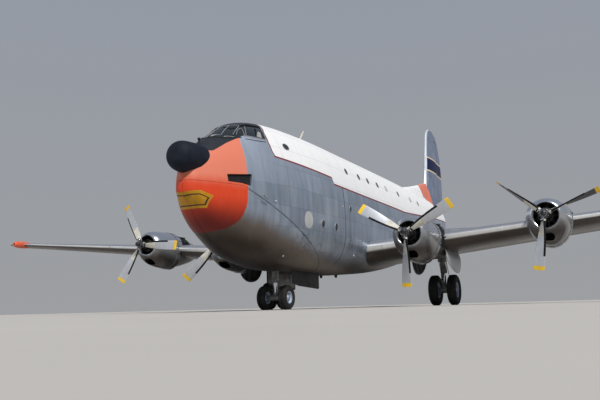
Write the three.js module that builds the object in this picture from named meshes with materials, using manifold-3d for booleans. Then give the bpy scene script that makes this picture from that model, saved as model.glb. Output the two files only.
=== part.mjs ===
// Four-engined military transport plane with a tall double-deck body,
// nose doors under a round radome and a low wing, as a half-size model.
// Lengths below are full-size metres. x is to port, s is the station aft of a
// datum just ahead of the radome and z is the height over the floor. MODEL
// turns them into model millimetres, with the origin on the floor at MIDDLE.
import * as THREE from 'three';
import { mergeVertices } from 'three/addons/utils/BufferGeometryUtils.js';
import Module from 'manifold-3d';

const wasm = await Module();
wasm.setup();

const MODEL = 500;
const NOSE_TIP = 0.55;
const MIDDLE = 20.425;
const HALF_SPAN = 26.535;
const SEAT = 0.0008;
const RUN = 0.012;
const END_RUN = 0.05;
const CUT_OVER = 0.3;
const PIN_RUN = 0.001;
const PIN_SIDES = 8;

// Body
const SKIN = 0.14;
const BODY_POINTS = 32;
const HULL_POINTS = 18;
const FORWARD_JOINT = 11.6;
const REAR_JOINT = 21.2;
const FLOOR_TOP = 3.0;
const FLOOR_THICK = 0.16;
const DECK_TOP = 5.95;

// Nose doors, hinged on a slanting seam along each side
const DOOR_TOP = 4.86;
const SEAM_S = 4.8;
const SEAM_Z = 4.24;
const SEAM_DROP = 0.419;
const KEEL_HALF = 0.95;
const KEEL_FRONT = 6.9;
const HINGE_FRONT = 3.6;
const HINGE_REAR = 8.0;
const HINGE_FRONT_X = 1.73;
const HINGE_REAR_X = 2.2;
const KNUCKLE_R = 0.045;

// Wing
const WING_LE = 14.6;
const WING_SWEEP = 0.08;
const WING_CHORD = 6.6;
const TIP_CHORD = 2.3;
const WING_Z = 2.93;
const WING_RISE = 0.087;
const WING_PITCH = 0.083;
const FLAP_LINE = 0.72;
const FLAP_IN = 2.75;
const FLAP_OUT = 17.1;
const AILERON_IN = 17.6;
const AILERON_OUT = 25.4;
const TIP_X = 26.1;

// Engines: x, propeller station, hub height, angle of one blade
const ENGINES = [
  { x: 11.35, s: 13.0, z: 4.0, blade: -99.3 },
  { x: 5.25, s: 11.6, z: 3.46, blade: -90.9 },
  { x: -5.25, s: 11.6, z: 3.46, blade: -139.2 },
  { x: -11.35, s: 13.0, z: 4.0, blade: -4.3 },
];
const PROP_R = 2.56;
const SHAFT_R = 0.075;
const SHAFT_SIDES = 12;

// Tail
const FIN_HINGE = 37.8;
const RUDDER_LOW = 8.36;
const RUDDER_HIGH = 13.9;
const TAIL_Z = 5.87;
const TAIL_HALF = 11.2;
const TAIL_LE = 34.9;
const TAIL_SWEEP = 0.16;
const TAIL_CHORD = 4.5;
const TAIL_TIP_CHORD = 2.2;
const ELEVATOR_LINE = 0.64;
const ELEVATOR_IN = 0.98;
const ELEVATOR_OUT = 10.6;

// Landing gear
const NOSE_S = 8.38;
const NOSE_R = 0.55;
const NOSE_TRACK = 0.55;
const NOSE_W = 0.4;
const MAIN_X = 5.25;
const MAIN_S = 18.5;
const MAIN_R = 0.83;
const MAIN_TRACK = 0.51;
const MAIN_W = 0.5;
const WELL = { half: 0.66, front: 15.9, rear: 18.95, top: 3.2 };

const group = new THREE.Group();

// Turns a closed list of triangles into a solid with its faces pointing out
function solidFrom(positions, index) {
  let volume = 0;
  for (let i = 0; i < index.length; i += 3) {
    const a = new THREE.Vector3().fromArray(positions, index[i] * 3);
    const b = new THREE.Vector3().fromArray(positions, index[i + 1] * 3);
    const c = new THREE.Vector3().fromArray(positions, index[i + 2] * 3);
    volume += a.dot(b.cross(c));
  }
  const tri = Uint32Array.from(index);
  if (volume < 0) {
    for (let i = 0; i < tri.length; i += 3) {
      const keep = tri[i + 1];
      tri[i + 1] = tri[i + 2];
      tri[i + 2] = keep;
    }
  }
  return new wasm.Manifold(new wasm.Mesh({
    numProp: 3,
    vertProperties: Float32Array.from(positions),
    triVerts: tri,
  }));
}

function solid(geometry) {
  const plain = geometry.clone();
  plain.deleteAttribute('normal');
  plain.deleteAttribute('uv');
  const merged = mergeVertices(plain, 1e-5);
  return solidFrom(Array.from(merged.attributes.position.array), Array.from(merged.index.array));
}

// Skin over rings of points, closed by a flat fan at each end
function loft(rings) {
  const count = rings[0].length;
  const positions = rings.flat(2);
  const index = [];
  for (let i = 0; i < rings.length - 1; i += 1) {
    for (let j = 0; j < count; j += 1) {
      const a = i * count + j;
      const b = i * count + ((j + 1) % count);
      index.push(a, b, a + count, b, b + count, a + count);
    }
  }
  const ends = [rings[0], rings[rings.length - 1]];
  ends.forEach((ring, end) => {
    const first = end === 0 ? 0 : (rings.length - 1) * count;
    const centre = positions.length / 3;
    for (let k = 0; k < 3; k += 1) {
      positions.push(ring.reduce((sum, p) => sum + p[k], 0) / count);
    }
    for (let j = 0; j < count; j += 1) {
      const a = first + j;
      const b = first + ((j + 1) % count);
      if (end === 0) index.push(b, a, centre);
      else index.push(a, b, centre);
    }
  });
  return solidFrom(positions, index);
}

function box(x0, x1, s0, s1, z0, z1) {
  const geometry = new THREE.BoxGeometry(x1 - x0, s1 - s0, z1 - z0);
  geometry.translate((x0 + x1) / 2, (s0 + s1) / 2, (z0 + z1) / 2);
  return solid(geometry);
}

// Round bar between two points, its first corner turned by an angle
function rod(from, to, radius, sides, turn = 0) {
  const a = new THREE.Vector3(...from);
  const b = new THREE.Vector3(...to);
  const along = b.clone().sub(a);
  const geometry = new THREE.CylinderGeometry(radius, radius, along.length(), sides, 1, false, turn);
  geometry.applyQuaternion(new THREE.Quaternion().setFromUnitVectors(
    new THREE.Vector3(0, 1, 0), along.clone().normalize()));
  const middle = a.add(b).multiplyScalar(0.5);
  geometry.translate(middle.x, middle.y, middle.z);
  return solid(geometry);
}

// Turned body: profile of [radius, height] pairs around an axis
function turned(profile, sides, axis, at) {
  const points = profile.map(([r, h]) => new THREE.Vector2(r, h));
  const geometry = new THREE.LatheGeometry(points, sides);
  geometry.applyQuaternion(new THREE.Quaternion().setFromUnitVectors(
    new THREE.Vector3(0, 1, 0), new THREE.Vector3(...axis)));
  geometry.translate(...at);
  return solid(geometry);
}

// Straight prism of a polygon given in the s-z plane, from x0 to x1
function slab(points, x0, x1) {
  const shape = new THREE.Shape(points.map(([s, z]) => new THREE.Vector2(s, z)));
  const geometry = new THREE.ExtrudeGeometry(shape, { depth: x1 - x0, bevelEnabled: false });
  geometry.applyMatrix4(new THREE.Matrix4().makeBasis(
    new THREE.Vector3(0, 1, 0), new THREE.Vector3(0, 0, 1), new THREE.Vector3(1, 0, 0)));
  geometry.translate(x0, 0, 0);
  return solid(geometry);
}

// Bore that a pin turns in: its flats lie just outside the pin's corners
function boreFor(from, to, radius, sides) {
  return rod(from, to, (radius + PIN_RUN) / Math.cos(Math.PI / sides), sides, Math.PI / sides);
}

function mirrored(part) {
  return part.mirror([1, 0, 0]);
}

function join(parts) {
  return parts.reduce((sum, part) => sum.add(part));
}

function addPart(name, part, color, roughness, metalness) {
  const mesh = part.getMesh();
  const geometry = new THREE.BufferGeometry();
  const points = new Float32Array(mesh.vertProperties.length);
  for (let i = 0; i < points.length; i += 3) {
    points[i] = mesh.vertProperties[i] * MODEL;
    points[i + 1] = (mesh.vertProperties[i + 1] - MIDDLE) * MODEL;
    points[i + 2] = mesh.vertProperties[i + 2] * MODEL;
  }
  geometry.setAttribute('position', new THREE.BufferAttribute(points, 3));
  geometry.setIndex(new THREE.BufferAttribute(Uint32Array.from(mesh.triVerts), 1));
  geometry.computeVertexNormals();
  const material = new THREE.MeshStandardMaterial({ color, roughness, metalness });
  const object = new THREE.Mesh(geometry, material);
  object.name = name;
  group.add(object);
}

// Values between the rows of a table, by its first column, on a smooth curve
function between(table, s) {
  let i = 0;
  while (i < table.length - 2 && s > table[i + 1][0]) i += 1;
  const rows = [table[Math.max(i - 1, 0)], table[i], table[i + 1], table[Math.min(i + 2, table.length - 1)]];
  const span = rows[2][0] - rows[1][0];
  const t = THREE.MathUtils.clamp((s - rows[1][0]) / span, 0, 1);
  return rows[1].map((value, k) => {
    const before = (rows[2][k] - rows[0][k]) / (rows[2][0] - rows[0][0]);
    const after = (rows[3][k] - rows[1][k]) / (rows[3][0] - rows[1][0]);
    const m0 = before * span;
    const m1 = after * span;
    const t2 = t * t;
    const t3 = t2 * t;
    return (2 * t3 - 3 * t2 + 1) * value + (t3 - 2 * t2 + t) * m0
      + (3 * t2 - 2 * t3) * rows[2][k] + (t3 - t2) * m1;
  });
}

// Body sections: station, bottom, top, half width, height of the widest line,
// roundness (2 is an ellipse, more is squarer)
const BODY = [
  [1.12, 4.40, 5.00, 0.20, 4.66, 2.25],
  [1.25, 4.25, 5.50, 0.40, 4.62, 2.35],
  [1.55, 3.95, 5.98, 0.58, 4.56, 2.30],
  [2.00, 3.46, 6.32, 0.83, 4.48, 2.25],
  [2.60, 3.00, 6.78, 1.09, 4.40, 2.15],
  [3.10, 2.74, 7.10, 1.27, 4.34, 2.10],
  [3.75, 2.46, 7.50, 1.48, 4.28, 2.12],
  [4.60, 2.15, 7.85, 1.71, 4.22, 2.20],
  [5.70, 1.94, 8.09, 1.93, 4.15, 2.22],
  [7.00, 1.78, 8.22, 2.10, 4.08, 2.25],
  [8.60, 1.74, 8.26, 2.20, 4.02, 2.40],
  [10.6, 1.71, 8.27, 2.25, 4.00, 2.55],
  [13.3, 1.69, 8.27, 2.25, 4.00, 2.55],
  [16.5, 1.84, 8.27, 2.25, 4.05, 2.55],
  [19.0, 2.00, 8.26, 2.25, 4.15, 2.55],
  [22.0, 2.34, 8.25, 2.20, 4.35, 2.55],
  [25.5, 2.92, 8.24, 2.06, 4.75, 2.50],
  [29.0, 3.66, 8.21, 1.80, 5.20, 2.40],
  [32.5, 4.44, 8.17, 1.46, 5.70, 2.30],
  [35.5, 5.06, 8.12, 1.10, 6.15, 2.20],
  [38.2, 5.62, 8.00, 0.68, 6.60, 2.10],
  [39.5, 6.10, 7.72, 0.38, 6.85, 2.00],
  [40.1, 6.60, 7.25, 0.12, 6.92, 2.00],
];

function bodyRing(s, inset, count) {
  const [, bottom, top, half, wide, roundness] = between(BODY, s);
  const power = 2 / roundness;
  return Array.from({ length: count }, (_, j) => {
    const angle = ((j + 0.5) / count) * Math.PI * 2;
    const c = Math.cos(angle);
    const q = Math.sin(angle);
    const reach = q > 0 ? top - inset - wide : wide - bottom - inset;
    const x = Math.max(half - inset, 0.02) * Math.sign(c) * Math.abs(c) ** power;
    const z = wide + Math.max(reach, 0.02) * Math.sign(q) * Math.abs(q) ** power;
    return [x, s, z];
  });
}

const OUTER_STATIONS = [1.12, 1.25, 1.55, 2, 2.6, 3.1, 3.75, 4.6, 5.7, 7, 8.6, 10.6, FORWARD_JOINT,
  13.3, 16.5, 19, REAR_JOINT, 23, 25.5, 29, 32.5, 35.5, 38.2, 39.5, 40.1];
const INNER_STATIONS = [1.75, 2.2, 3.1, 3.75, 4.6, 5.7, 8.6, FORWARD_JOINT, 16.5, REAR_JOINT,
  25.5, 29, 32.5];

const bodyOuter = loft(OUTER_STATIONS.map((s) => bodyRing(s, 0, BODY_POINTS)));
const bodySeat = loft(OUTER_STATIONS.map((s) => bodyRing(s, -SEAT, BODY_POINTS)));
const bodyInner = loft(INNER_STATIONS.map((s) => bodyRing(s, SKIN, HULL_POINTS)));
const cabin = loft(INNER_STATIONS.map((s) => bodyRing(s, SKIN + SEAT, HULL_POINTS)));
const shell = bodyOuter.subtract(bodyInner);

// Everything under the slanting seam and the level top seam of the nose doors
const FAR = 4;
function seamZ(s) {
  return SEAM_Z - SEAM_DROP * (s - SEAM_S);
}
function doorZone(grow) {
  const level = DOOR_TOP + grow;
  const knee = SEAM_S - (DOOR_TOP - SEAM_Z) / SEAM_DROP;
  const rear = 11.3;
  const zone = slab([
    [0.5, 0.5], [rear, 0.5], [rear, seamZ(rear) + grow], [knee, level], [0.5, level],
  ], -FAR, FAR);
  const keel = box(-KEEL_HALF + grow, KEEL_HALF - grow, KEEL_FRONT + grow, 12, 0, 4);
  return zone.subtract(keel);
}

// Hinge line of the port door, at a share of its length
function hingePoint(t) {
  const s = HINGE_FRONT + (HINGE_REAR - HINGE_FRONT) * t;
  return [HINGE_FRONT_X + (HINGE_REAR_X - HINGE_FRONT_X) * t, s, seamZ(s) + RUN / 2];
}

// Knuckles on the hinge line, the door's between two of the body's
const KNUCKLES = [0.14, 0.86];
function knuckle(t0, t1, up) {
  const way = up ? 1 : -1;
  const web = loft([hingePoint(t0 + 0.005), hingePoint(t1 - 0.005)].map(([x, s, z]) => [
    [x + 0.01, s, z + 0.015 * way],
    [x - 0.5, s, z + 0.1 * way],
    [x - 0.5, s, z + 0.25 * way],
    [x + 0.02, s, z + 0.04 * way],
  ]));
  return rod(hingePoint(t0), hingePoint(t1), KNUCKLE_R, 8).add(web);
}
const bodyKnuckles = [];
const doorKnuckles = [];
KNUCKLES.forEach((t) => {
  bodyKnuckles.push(knuckle(t - 0.04, t - 0.0145, true), knuckle(t + 0.0145, t + 0.04, true));
  doorKnuckles.push(knuckle(t - 0.0143, t + 0.0143, false));
});
const portHinges = join(bodyKnuckles);
const bodyHinges = portHinges.add(mirrored(portHinges)).subtract(bodyInner);
const doorHinges = join(doorKnuckles);

// Flight-deck windows: band between a sill and the roof, with posts left in
const SILL_Z = 6.86;
const GLASS_TOP = 7.82;
function glassBand(grow) {
  return slab([
    [2.3, SILL_Z - grow], [3.1, SILL_Z - grow], [5.28 + grow, SILL_Z - grow + 0.25],
    [5.6 + grow, GLASS_TOP + grow], [3.6, GLASS_TOP + grow], [2.3, GLASS_TOP + grow],
  ], -2.2, 2.2);
}
const POST = 0.07;
const posts = [box(-POST / 2, POST / 2, 2, 5, 6, 8.4)];
[1, -1].forEach((side) => {
  posts.push(slab([[2, 6], [3.9, 6], [3.9, 8.4], [2, 8.4]], side * 0.72 - POST / 2, side * 0.72 + POST / 2));
});
[3.62, 4.5].forEach((s) => posts.push(box(-2.2, 2.2, s, s + POST, 6, 8.4)));
const glassCut = glassBand(0).subtract(join(posts));
const roofKeep = box(-0.55, 0.55, 3.6, 6.2, 7.4, 8.6);
const windowCut = glassCut.subtract(roofKeep);

// Nose gear bay in the keel
const BAY = { half: 0.6, front: 7.6, rear: 11.2, top: 2.72, wall: 0.1 };
const bayCut = box(-BAY.half, BAY.half, BAY.front, BAY.rear, 1, BAY.top);
const bayBox = box(-BAY.half - BAY.wall, BAY.half + BAY.wall, BAY.front - BAY.wall,
  BAY.rear + BAY.wall, 1.6, BAY.top + BAY.wall).intersect(bodyOuter);

const forwardZone = box(-FAR, FAR, -1, FORWARD_JOINT - SEAT, 0, 10);
const centreZone = box(-FAR, FAR, FORWARD_JOINT, REAR_JOINT - SEAT, 0, 10);
const tailZone = box(-FAR, FAR, REAR_JOINT, 41, 0, 10);

const GREY = 0x9a9fa3;
const WHITE = 0xe6e8ea;

// Dark recess at the rear end of the doors' top seam, on both sides
const NOTCH_DEEP = 0.08;
const notchSide = slab([[2.6, 5.24], [3.84, 5.38], [3.72, 4.8], [3.25, 4.8], [2.74, 4.94]], 0.6, 2.4)
  .subtract(loft(OUTER_STATIONS.map((s) => bodyRing(s, NOTCH_DEEP, BODY_POINTS))));
const notches = notchSide.add(mirrored(notchSide));

const nose = shell.intersect(forwardZone).subtract(doorZone(RUN)).subtract(notches).add(bayBox)
  .subtract(bayCut).subtract(windowCut).add(bodyHinges);
addPart('fuselage_forward', nose, GREY, 0.42, 0.6);
addPart('fuselage_centre', shell.intersect(centreZone), GREY, 0.42, 0.6);
addPart('fuselage_tail', shell.intersect(tailZone), WHITE, 0.42, 0.4);

const doorHalf = box(RUN / 2, FAR, 0, 12, 0, 6);
const doorShell = shell.intersect(doorZone(0));
const doorLeft = doorShell.intersect(doorHalf).add(doorHinges.subtract(bodyInner));
const doorRight = doorShell.intersect(mirrored(doorHalf)).add(mirrored(doorHinges).subtract(bodyInner));
addPart('nose_door_left', doorLeft, 0xd2502e, 0.5, 0.1);
addPart('nose_door_right', doorRight, 0xd2502e, 0.5, 0.1);

// Radome over the nose
const radome = turned([
  [0, 0], [0.2, 0.04], [0.4, 0.17], [0.53, 0.37], [0.6, 0.68], [0.61, 1.15], [0.58, 2.1], [0, 2.1],
], 24, [0, 1, 0], [0, NOSE_TIP, 5.77]);
addPart('radome', radome.subtract(bodySeat), 0x1b1d20, 0.55, 0);

// Decks, seats and panel
const cargoFloor = cabin.intersect(join([
  box(-1.25, 1.25, 5.6, 8.9, FLOOR_TOP - FLOOR_THICK, FLOOR_TOP),
  box(-FAR, FAR, 8.9, 27, FLOOR_TOP - FLOOR_THICK, FLOOR_TOP),
]));
addPart('cargo_floor', cargoFloor, 0x6d6a5e, 0.8, 0.1);
const flightDeck = cabin.intersect(box(-FAR, FAR, 2.6, 8.6, DECK_TOP - 0.1, DECK_TOP));
addPart('flight_deck', flightDeck, 0x5d6063, 0.8, 0.1);
const panel = slab([[3.15, DECK_TOP + SEAT], [3.45, DECK_TOP + SEAT], [3.35, 6.66], [3.1, 6.74]],
  -1.05, 1.05);
addPart('instrument_panel', panel.intersect(cabin), 0x202224, 0.8, 0);
[['left', 0.55], ['right', -0.55]].forEach(([side, x]) => {
  const seat = join([
    box(x - 0.15, x + 0.15, 4.25, 4.55, DECK_TOP + SEAT, 6.4),
    box(x - 0.27, x + 0.27, 4.12, 4.68, 6.35, 6.5),
    slab([[4.58, 6.42], [4.7, 6.42], [4.82, 7.1], [4.72, 7.1]], x - 0.26, x + 0.26),
  ]);
  addPart(`pilot_seat_${side}`, seat, 0x3c4034, 0.9, 0);
});
const GLASS = 0.04;
const glazing = cabin.subtract(loft(INNER_STATIONS.map((s) => bodyRing(s, SKIN + GLASS, HULL_POINTS))))
  .intersect(glassBand(0.07));
addPart('cockpit_glazing', glazing, 0x2a3036, 0.1, 0);

// Wing sections run along x: leading edge, chord, thickness share. The chord
// line falls by pitch for each metre aft of the leading edge.
function wingAt(x) {
  const t = Math.min(x / 26.5, 1);
  const chord = WING_CHORD + (TIP_CHORD - WING_CHORD) * t;
  return {
    lead: WING_LE + WING_SWEEP * x,
    chord,
    thick: chord * (0.225 - 0.1 * t),
    z: WING_Z + WING_RISE * x,
    pitch: WING_PITCH,
  };
}
// Aerofoil: share of chord, upper and lower share of thickness
const AEROFOIL = [
  [1.0, 0.02, -0.02], [0.86, 0.12, -0.11], [0.72, 0.23, -0.20], [0.55, 0.34, -0.32],
  [0.38, 0.41, -0.43], [0.24, 0.42, -0.47], [0.12, 0.35, -0.42], [0.045, 0.24, -0.30],
  [0.01, 0.12, -0.15],
];
function foilRing(place, grow) {
  const upper = AEROFOIL.map(([u, top]) => [u, top * place.thick + grow]);
  const lower = AEROFOIL.map(([u, , low]) => [u, low * place.thick - grow]).reverse();
  return [...upper, [0, 0], ...lower].map(([u, h]) => {
    const along = u === 0 ? -grow : u * place.chord;
    return [place.lead + along + (u === 1 ? grow : 0), place.z + h - u * place.chord * place.pitch];
  });
}
function wingLoft(stations, grow) {
  return loft(stations.map((x) => foilRing(wingAt(x), grow).map(([s, z]) => [x, s, z])));
}
const WING_STATIONS = [1.2, 5.25, 11.35, 17.5, 24.5, TIP_X];

// Surface on a hinge line: a round nose about the line, tapering to the edge.
// The nose runs on behind the line by the angles that the surface swings, low
// on its underside and high on top. With a gap it is the room that is cut for it.
function movable(placeAt, ends, line, lift, grow, low = 0, high = 0) {
  const rings = ends.map((x) => {
    const place = placeAt(x);
    const [, hingeS, hingeZ] = hingeAt(placeAt, x, line, lift);
    const radius = place.thick * place.nose + grow;
    const edge = place.lead + place.chord;
    const edgeZ = place.z - place.chord * place.pitch;
    const arc = [low - 90, -120, -150, 180, 150, 120, 90 - high].map((deg) => {
      const angle = deg * Math.PI / 180;
      return [hingeS + radius * Math.cos(angle), hingeZ + radius * Math.sin(angle)];
    });
    const wide = radius + CUT_OVER;
    const roomTop = hingeZ + wide;
    const roomFoot = hingeZ - wide;
    const lip = 0.02 * place.thick;
    const rear = grow > 0
      ? [[hingeS, roomTop], [edge + 1, roomTop], [edge + 1, roomFoot], [hingeS, roomFoot]]
      : [[edge, edgeZ + lip], [edge, edgeZ - lip]];
    return [...arc, ...rear].map(([s, z]) => [x, s, z]);
  });
  return loft(rings);
}
function hingeAt(placeAt, x, line, lift) {
  const place = placeAt(x);
  const drop = line * place.chord * place.pitch;
  return [x, place.lead + line * place.chord, place.z + lift * place.thick - drop];
}
function withPins(placeAt, surface, x0, x1, line, lift, reach, radius) {
  const from = hingeAt(placeAt, x0 - reach, line, lift);
  const to = hingeAt(placeAt, x1 + reach, line, lift);
  return surface.add(rod(from, to, radius, PIN_SIDES));
}

const FLAP_NOSE = 0.205;
const FLAP_LIFT = 0.015;
const flapPlace = (x) => ({ ...wingAt(x), nose: FLAP_NOSE });
const FLAP_PIN = 0.04;
const AILERON_PIN = 0.03;
const flapCut = movable(flapPlace, [FLAP_IN - END_RUN, FLAP_OUT + END_RUN], FLAP_LINE, FLAP_LIFT, RUN);
const aileronCut = movable(flapPlace, [AILERON_IN - END_RUN, AILERON_OUT + END_RUN], FLAP_LINE, FLAP_LIFT, RUN);
const flapBores = boreFor(hingeAt(flapPlace, FLAP_IN - 0.18, FLAP_LINE, FLAP_LIFT),
  hingeAt(flapPlace, FLAP_OUT + 0.18, FLAP_LINE, FLAP_LIFT), FLAP_PIN, PIN_SIDES);
const aileronBores = boreFor(hingeAt(flapPlace, AILERON_IN - 0.18, FLAP_LINE, FLAP_LIFT),
  hingeAt(flapPlace, AILERON_OUT + 0.18, FLAP_LINE, FLAP_LIFT), AILERON_PIN, PIN_SIDES);
const tipCap = loft([[TIP_X, 1], [HALF_SPAN - 0.08, 0.72], [HALF_SPAN, 0.3]].map(([x, share]) => {
  const place = wingAt(TIP_X);
  return foilRing({
    lead: place.lead + place.chord * (1 - share) * 0.45,
    chord: place.chord * (0.4 + 0.6 * share),
    thick: place.thick * share,
    z: place.z,
    pitch: place.pitch,
  }, 0).map(([s, z]) => [x, s, z]);
}));
const wing = wingLoft(WING_STATIONS, 0).add(tipCap)
  .subtract(flapCut).subtract(aileronCut).subtract(flapBores).subtract(aileronBores);
const wingSeat = wingLoft(WING_STATIONS, SEAT);

// Heater pod under the leading edge of each wing tip
const POD_X = 24.9;
const podPlace = wingAt(POD_X);
const pod = turned([
  [0, 0], [0.12, 0.04], [0.2, 0.2], [0.24, 0.5], [0.22, 1.2], [0.1, 1.9], [0, 2.0],
], 12, [0, 1, 0], [POD_X, podPlace.lead - 0.75, podPlace.z - 0.05]);
addPart('wing_left', wing.subtract(bodySeat), GREY, 0.35, 0.7);
addPart('wing_right', mirrored(wing).subtract(bodySeat), GREY, 0.35, 0.7);
const podCut = pod.subtract(wingSeat);
addPart('heater_pod_left', podCut, 0xc9502c, 0.5, 0.1);
addPart('heater_pod_right', mirrored(podCut), 0xc9502c, 0.5, 0.1);

const flap = withPins(flapPlace, movable(flapPlace, [FLAP_IN, FLAP_OUT], FLAP_LINE, FLAP_LIFT, 0, 52, 0),
  FLAP_IN, FLAP_OUT, FLAP_LINE, FLAP_LIFT, 0.15, FLAP_PIN);
const aileron = withPins(flapPlace,
  movable(flapPlace, [AILERON_IN, AILERON_OUT], FLAP_LINE, FLAP_LIFT, 0, 20, 20),
  AILERON_IN, AILERON_OUT, FLAP_LINE, FLAP_LIFT, 0.15, AILERON_PIN);
addPart('flap_left', flap, GREY, 0.35, 0.7);
addPart('flap_right', mirrored(flap), GREY, 0.35, 0.7);
addPart('aileron_left', aileron, GREY, 0.35, 0.7);
addPart('aileron_right', mirrored(aileron), GREY, 0.35, 0.7);

// Nacelle sections: station behind the propeller, half width, top, bottom and,
// where it is squarer than an ellipse, its roundness
const COWL = [
  [0.52, 0.64, 0.62, 0.66],
  [0.60, 0.72, 0.69, 0.80],
  [0.80, 0.83, 0.78, 1.02],
  [1.20, 0.91, 0.83, 1.20],
  [1.90, 0.94, 0.85, 1.32],
  [2.70, 0.92, 0.83, 1.36],
];
const REAR_INNER = [
  [2.90, 0.88, 0.78, 1.26],
  [3.60, 0.87, 0.74, 1.12, 2.4],
  [4.60, 0.86, 0.62, 1.06, 4.0],
  [5.80, 0.85, 0.42, 1.00, 4.4],
  [6.80, 0.84, 0.22, 0.94, 4.4],
  [7.50, 0.76, 0.05, 0.82, 4.0],
];
const REAR_OUTER = [
  [2.90, 0.86, 0.78, 1.26],
  [3.80, 0.78, 0.62, 1.10],
  [4.80, 0.62, 0.40, 0.85],
  [5.40, 0.46, 0.20, 0.60],
];
function nacelleRing(row, at, count) {
  const [back, half, top, bottom, roundness = 2] = row;
  const power = 2 / roundness;
  return Array.from({ length: count }, (_, j) => {
    const angle = ((j + 0.5) / count) * Math.PI * 2;
    const c = Math.cos(angle);
    const q = Math.sin(angle);
    const x = half * Math.sign(c) * Math.abs(c) ** power;
    const z = (q > 0 ? top : bottom) * Math.sign(q) * Math.abs(q) ** power;
    return [at.x + x, at.s + back, at.z + z];
  });
}
const NACELLE_POINTS = 16;
const BLOCK_BACK = 2.0;
function nacelle(at, inner) {
  const rows = [...COWL, ...(inner ? REAR_INNER : REAR_OUTER)];
  const outside = loft(rows.map((row) => nacelleRing(row, at, NACELLE_POINTS)));
  const mouth = turned([
    [0, 0.3], [0.56, 0.3], [0.56, 0.75], [0.7, 1.1], [0.7, BLOCK_BACK + SEAT], [0, BLOCK_BACK + SEAT],
  ], 14, [0, 1, 0], [at.x, at.s, at.z]);
  const chin = rod([at.x, at.s + 0.6, at.z - 0.98], [at.x, at.s + 1.75, at.z - 0.98], 0.17, 10);
  const intake = chin.translate([-0.14, 0, 0]).add(chin.translate([0.14, 0, 0]));
  let body = outside.subtract(mouth).subtract(intake).subtract(wingSeat);
  if (inner) {
    body = body.subtract(box(MAIN_X - WELL.half, MAIN_X + WELL.half, WELL.front, WELL.rear, 0, WELL.top));
  }
  return body;
}

// Radial engine: crankcase nose with a ring of cylinders and a rear plate
function engine(at) {
  const at3 = [at.x, at.s, at.z];
  const core = turned([
    [0, 0.3], [0.17, 0.3], [0.27, 0.62], [0.3, 0.85], [0.3, 1.85], [0.68, 1.85],
    [0.68, BLOCK_BACK], [0, BLOCK_BACK],
  ], 12, [0, 1, 0], at3);
  const cylinders = Array.from({ length: 7 }, (_, k) => {
    const angle = ((k + 0.5) / 7) * Math.PI * 2;
    const c = Math.cos(angle);
    const q = Math.sin(angle);
    const start = [at.x + 0.2 * c, at.s + 1.2, at.z + 0.2 * q];
    const end = [at.x + 0.64 * c, at.s + 1.2, at.z + 0.64 * q];
    return rod(start, end, 0.13, 6);
  });
  const bore = boreFor([at.x, at.s + 0.1, at.z], [at.x, at.s + 0.72, at.z], SHAFT_R, SHAFT_SIDES);
  return join([core, ...cylinders]).subtract(bore);
}

// Blade sections: radius, chord, thickness, twist from the disc plane
const BLADE = [
  [0.16, 0.20, 0.18, 60],
  [0.42, 0.24, 0.15, 52],
  [0.90, 0.42, 0.09, 38],
  [1.60, 0.52, 0.06, 26],
  [PROP_R, 0.54, 0.03, 17],
];
function bladeLoft(at, degrees) {
  const turn = degrees * Math.PI / 180;
  const out = new THREE.Vector3(Math.cos(turn), 0, Math.sin(turn));
  const side = new THREE.Vector3(-Math.sin(turn), 0, Math.cos(turn));
  const aft = new THREE.Vector3(0, 1, 0);
  return loft(BLADE.map(([radius, chord, thick, twist]) => {
    const a = twist * Math.PI / 180;
    const chordWay = side.clone().multiplyScalar(Math.cos(a)).addScaledVector(aft, -Math.sin(a));
    const thickWay = side.clone().multiplyScalar(Math.sin(a)).addScaledVector(aft, Math.cos(a));
    return [[-0.5, 0], [-0.1, 0.4], [0.25, 0.48], [0.5, 0], [0.25, -0.48], [-0.1, -0.4]]
      .map(([u, w]) => out.clone().multiplyScalar(radius)
        .addScaledVector(chordWay, u * chord).addScaledVector(thickWay, w * thick)
        .add(new THREE.Vector3(at.x, at.s, at.z)).toArray());
  }));
}
function propeller(at) {
  const hub = turned([
    [0, -0.42], [0.12, -0.38], [0.15, -0.16], [0.23, -0.12], [0.24, 0.14],
    [SHAFT_R, 0.22], [SHAFT_R, 0.7], [0, 0.7],
  ], SHAFT_SIDES, [0, 1, 0], [at.x, at.s, at.z]);
  const blades = [0, 120, 240].map((step) => bladeLoft(at, at.blade + step));
  return join([hub, ...blades]);
}
ENGINES.forEach((at, i) => {
  const inner = Math.abs(at.x) < 8;
  const port = { ...at, x: Math.abs(at.x) };
  const body = nacelle(port, inner);
  addPart(`nacelle_${i + 1}`, at.x < 0 ? mirrored(body) : body, 0xb9bcbe, 0.3, 0.8);
  addPart(`engine_${i + 1}`, engine(at), 0x3a3c3e, 0.6, 0.5);
  addPart(`propeller_${i + 1}`, propeller(at), 0xb4b6b8, 0.4, 0.7);
});

// Fin sections: height, leading edge, trailing edge, half thickness
const FIN = [
  [7.2, 33.6, 39.6, 0.40],
  [8.3, 34.1, 40.1, 0.38],
  [9.9, 34.72, 40.30, 0.33],
  [11.5, 35.15, 40.26, 0.27],
  [13.0, 35.50, 39.90, 0.20],
  [13.9, 35.74, 39.40, 0.15],
  [14.45, 36.10, 38.85, 0.10],
  [14.72, 36.75, 38.05, 0.04],
];
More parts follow.
